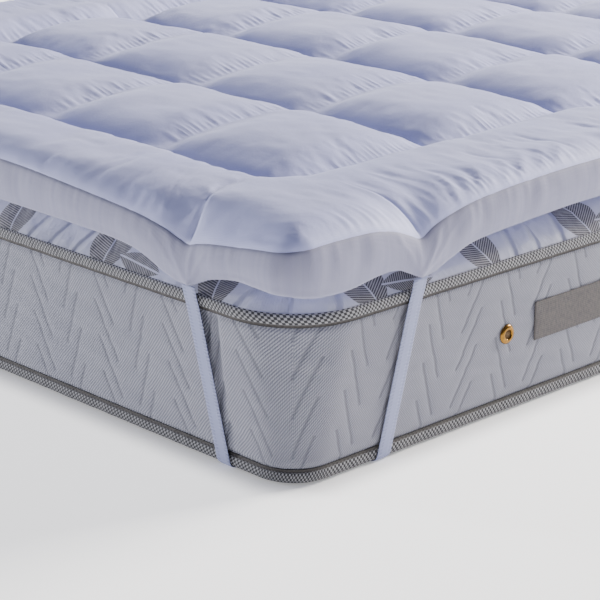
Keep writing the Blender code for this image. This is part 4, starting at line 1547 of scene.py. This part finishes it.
def make_patch(material):
    """The bare woven patch: a thin cloth on the border, a little uneven, its edge stitched."""
    low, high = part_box("patch")
    cells_y, cells_z = round((high.y - low.y) / PATCH_CELL), round((high.z - low.z) / PATCH_CELL)
    across, up = np.linspace(low.y, high.y, cells_y + 1), np.linspace(low.z, high.z, cells_z + 1)
    y, z = (grid.ravel() for grid in np.meshgrid(across, up, indexing="ij"))
    edge = np.minimum(np.minimum(y - low.y, high.y - y), np.minimum(z - low.z, high.z - z))
    front = high.x + 0.0006 * noise_field(y + 2, z, 0.035, 0.02, 81) * np.clip(edge / 0.01, 0, 1)
    front = front - 0.0005 * hill(edge - 0.0035, 0.0020) - 0.0004 * fade(edge, 0.002)
    count = len(y)
    points = np.concatenate((np.column_stack((front, y, z)), np.column_stack((np.full(count, low.x), y, z))))
    number = np.arange(count).reshape(cells_y + 1, cells_z + 1)
    quads = grid_faces(number)
    rim = np.concatenate((number[:-1, 0], number[-1, :-1], number[:0:-1, -1], number[0, :0:-1]))
    after = np.roll(rim, -1)
    sides = np.stack((after, rim, rim + count, after + count), axis=1)
    faces = quads.tolist() + (quads[:, ::-1] + count).tolist() + sides.tolist()
    return new_mesh("patch_cloth", points, faces, [material])


# ---- build -------------------------------------------------------------------------------

satin, band_cloth, elastic = satin_material(), band_material(), elastic_material()
knit, panel, tape_weave = knit_material(), panel_material(), tape_material()
brass, gauze, patch_weave = brass_material(), gauze_material(), patch_material()

topper = make_topper(satin)
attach(topper, "root")
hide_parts("topper_pad")

band, band_length = make_band(band_cloth)
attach(band, "root")
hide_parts("side_band")

mattress = make_mattress(knit, panel)
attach(mattress, "root")
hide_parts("mattress")

for tape_name, tape_low, tape_high in (
    ("tape_top", TOP_TAPE_LOW, TOP_TAPE_TOP),
    ("tape_bottom", BOTTOM_TAPE_LOW, BOTTOM_TAPE_TOP),
):
    tape = make_tape(tape_name, tape_weave, tape_low, tape_high)
    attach(tape, "root")
    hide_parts(tape_name)

for number, (sign_x, sign_y) in enumerate(((1, -1), (1, 1), (-1, 1), (-1, -1)), start=1):
    strap, strap_length = make_strap(f"strap_{number}", sign_x, sign_y, elastic)
    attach(strap, "root")
    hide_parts(f"strap_{number}")
    vent_ring, vent_gauze = make_vent(f"vent_{number}", brass, gauze)
    for piece in (vent_ring, vent_gauze):
        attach(piece, "root")
    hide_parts(f"vent_{number}")

patch = make_patch(patch_weave)
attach(patch, "root")
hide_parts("patch")

# ---- stage, light and camera -------------------------------------------------------------

bpy.ops.mesh.primitive_plane_add(size=60, location=(0, 0, 0))
floor = bpy.context.object
floor.name = "floor"
floor.data.materials.append(floor_material())

world = bpy.data.worlds.new("studio")
world.use_nodes = True
world.node_tree.nodes["Background"].inputs["Color"].default_value = (0.68, 0.73, 1.0, 1.0)
world.node_tree.nodes["Background"].inputs["Strength"].default_value = 0.31
bpy.context.scene.world = world


def soft_light(name, place, aim, size, watts, colour):
    """A rectangular softbox that shines from `place` towards `aim`."""
    lamp = bpy.data.lights.new(name, "AREA")
    lamp.shape = "RECTANGLE"
    lamp.size, lamp.size_y = size
    lamp.energy = watts
    lamp.color = colour
    thing = bpy.data.objects.new(name, lamp)
    thing.location = place
    thing.rotation_euler = (Vector(aim) - Vector(place)).to_track_quat("-Z", "Y").to_euler()
    bpy.context.scene.collection.objects.link(thing)


soft_light("top_back", (1.5, 5.2, 3.0), (0.0, -0.2, 0.3), (2.4, 2.0), 1120.0, (1.0, 0.95, 0.88))
soft_light("right", (2.5, 5.4, 0.7), (0.8, -0.8, 0.15), (0.8, 0.8), 34.0, (1.0, 0.97, 0.95))
soft_light("left", (-5.3, -3.1, 0.7), (0.5, -1.0, 0.15), (0.8, 0.8), 380.0, (0.97, 0.97, 1.0))

CAMERA_PLACE = Vector((2.57739, -2.69552, 1.08243))
CAMERA_TURN = math.pi / 4 - 0.0196      # from the X axis,
CAMERA_DIP = 0.3191                     # and down from the level
LENS_LENGTH = 123.67                    # in millimetres, for a sensor 36 mm wide
right = Vector((math.sin(CAMERA_TURN), math.cos(CAMERA_TURN), 0.0))
ahead = Vector((-math.cos(CAMERA_TURN), math.sin(CAMERA_TURN), 0.0)) * math.cos(CAMERA_DIP)
forward = ahead - Vector((0.0, 0.0, math.sin(CAMERA_DIP)))
lens = bpy.data.cameras.new("photo_camera")
lens.lens = LENS_LENGTH
lens.sensor_width = 36.0
lens.dof.use_dof = False
camera = bpy.data.objects.new("photo_camera", lens)
axes = Matrix((right, right.cross(forward), -forward)).transposed()
camera.matrix_world = Matrix.Translation(CAMERA_PLACE) @ axes.to_4x4()
bpy.context.scene.collection.objects.link(camera)
bpy.context.scene.camera = camera
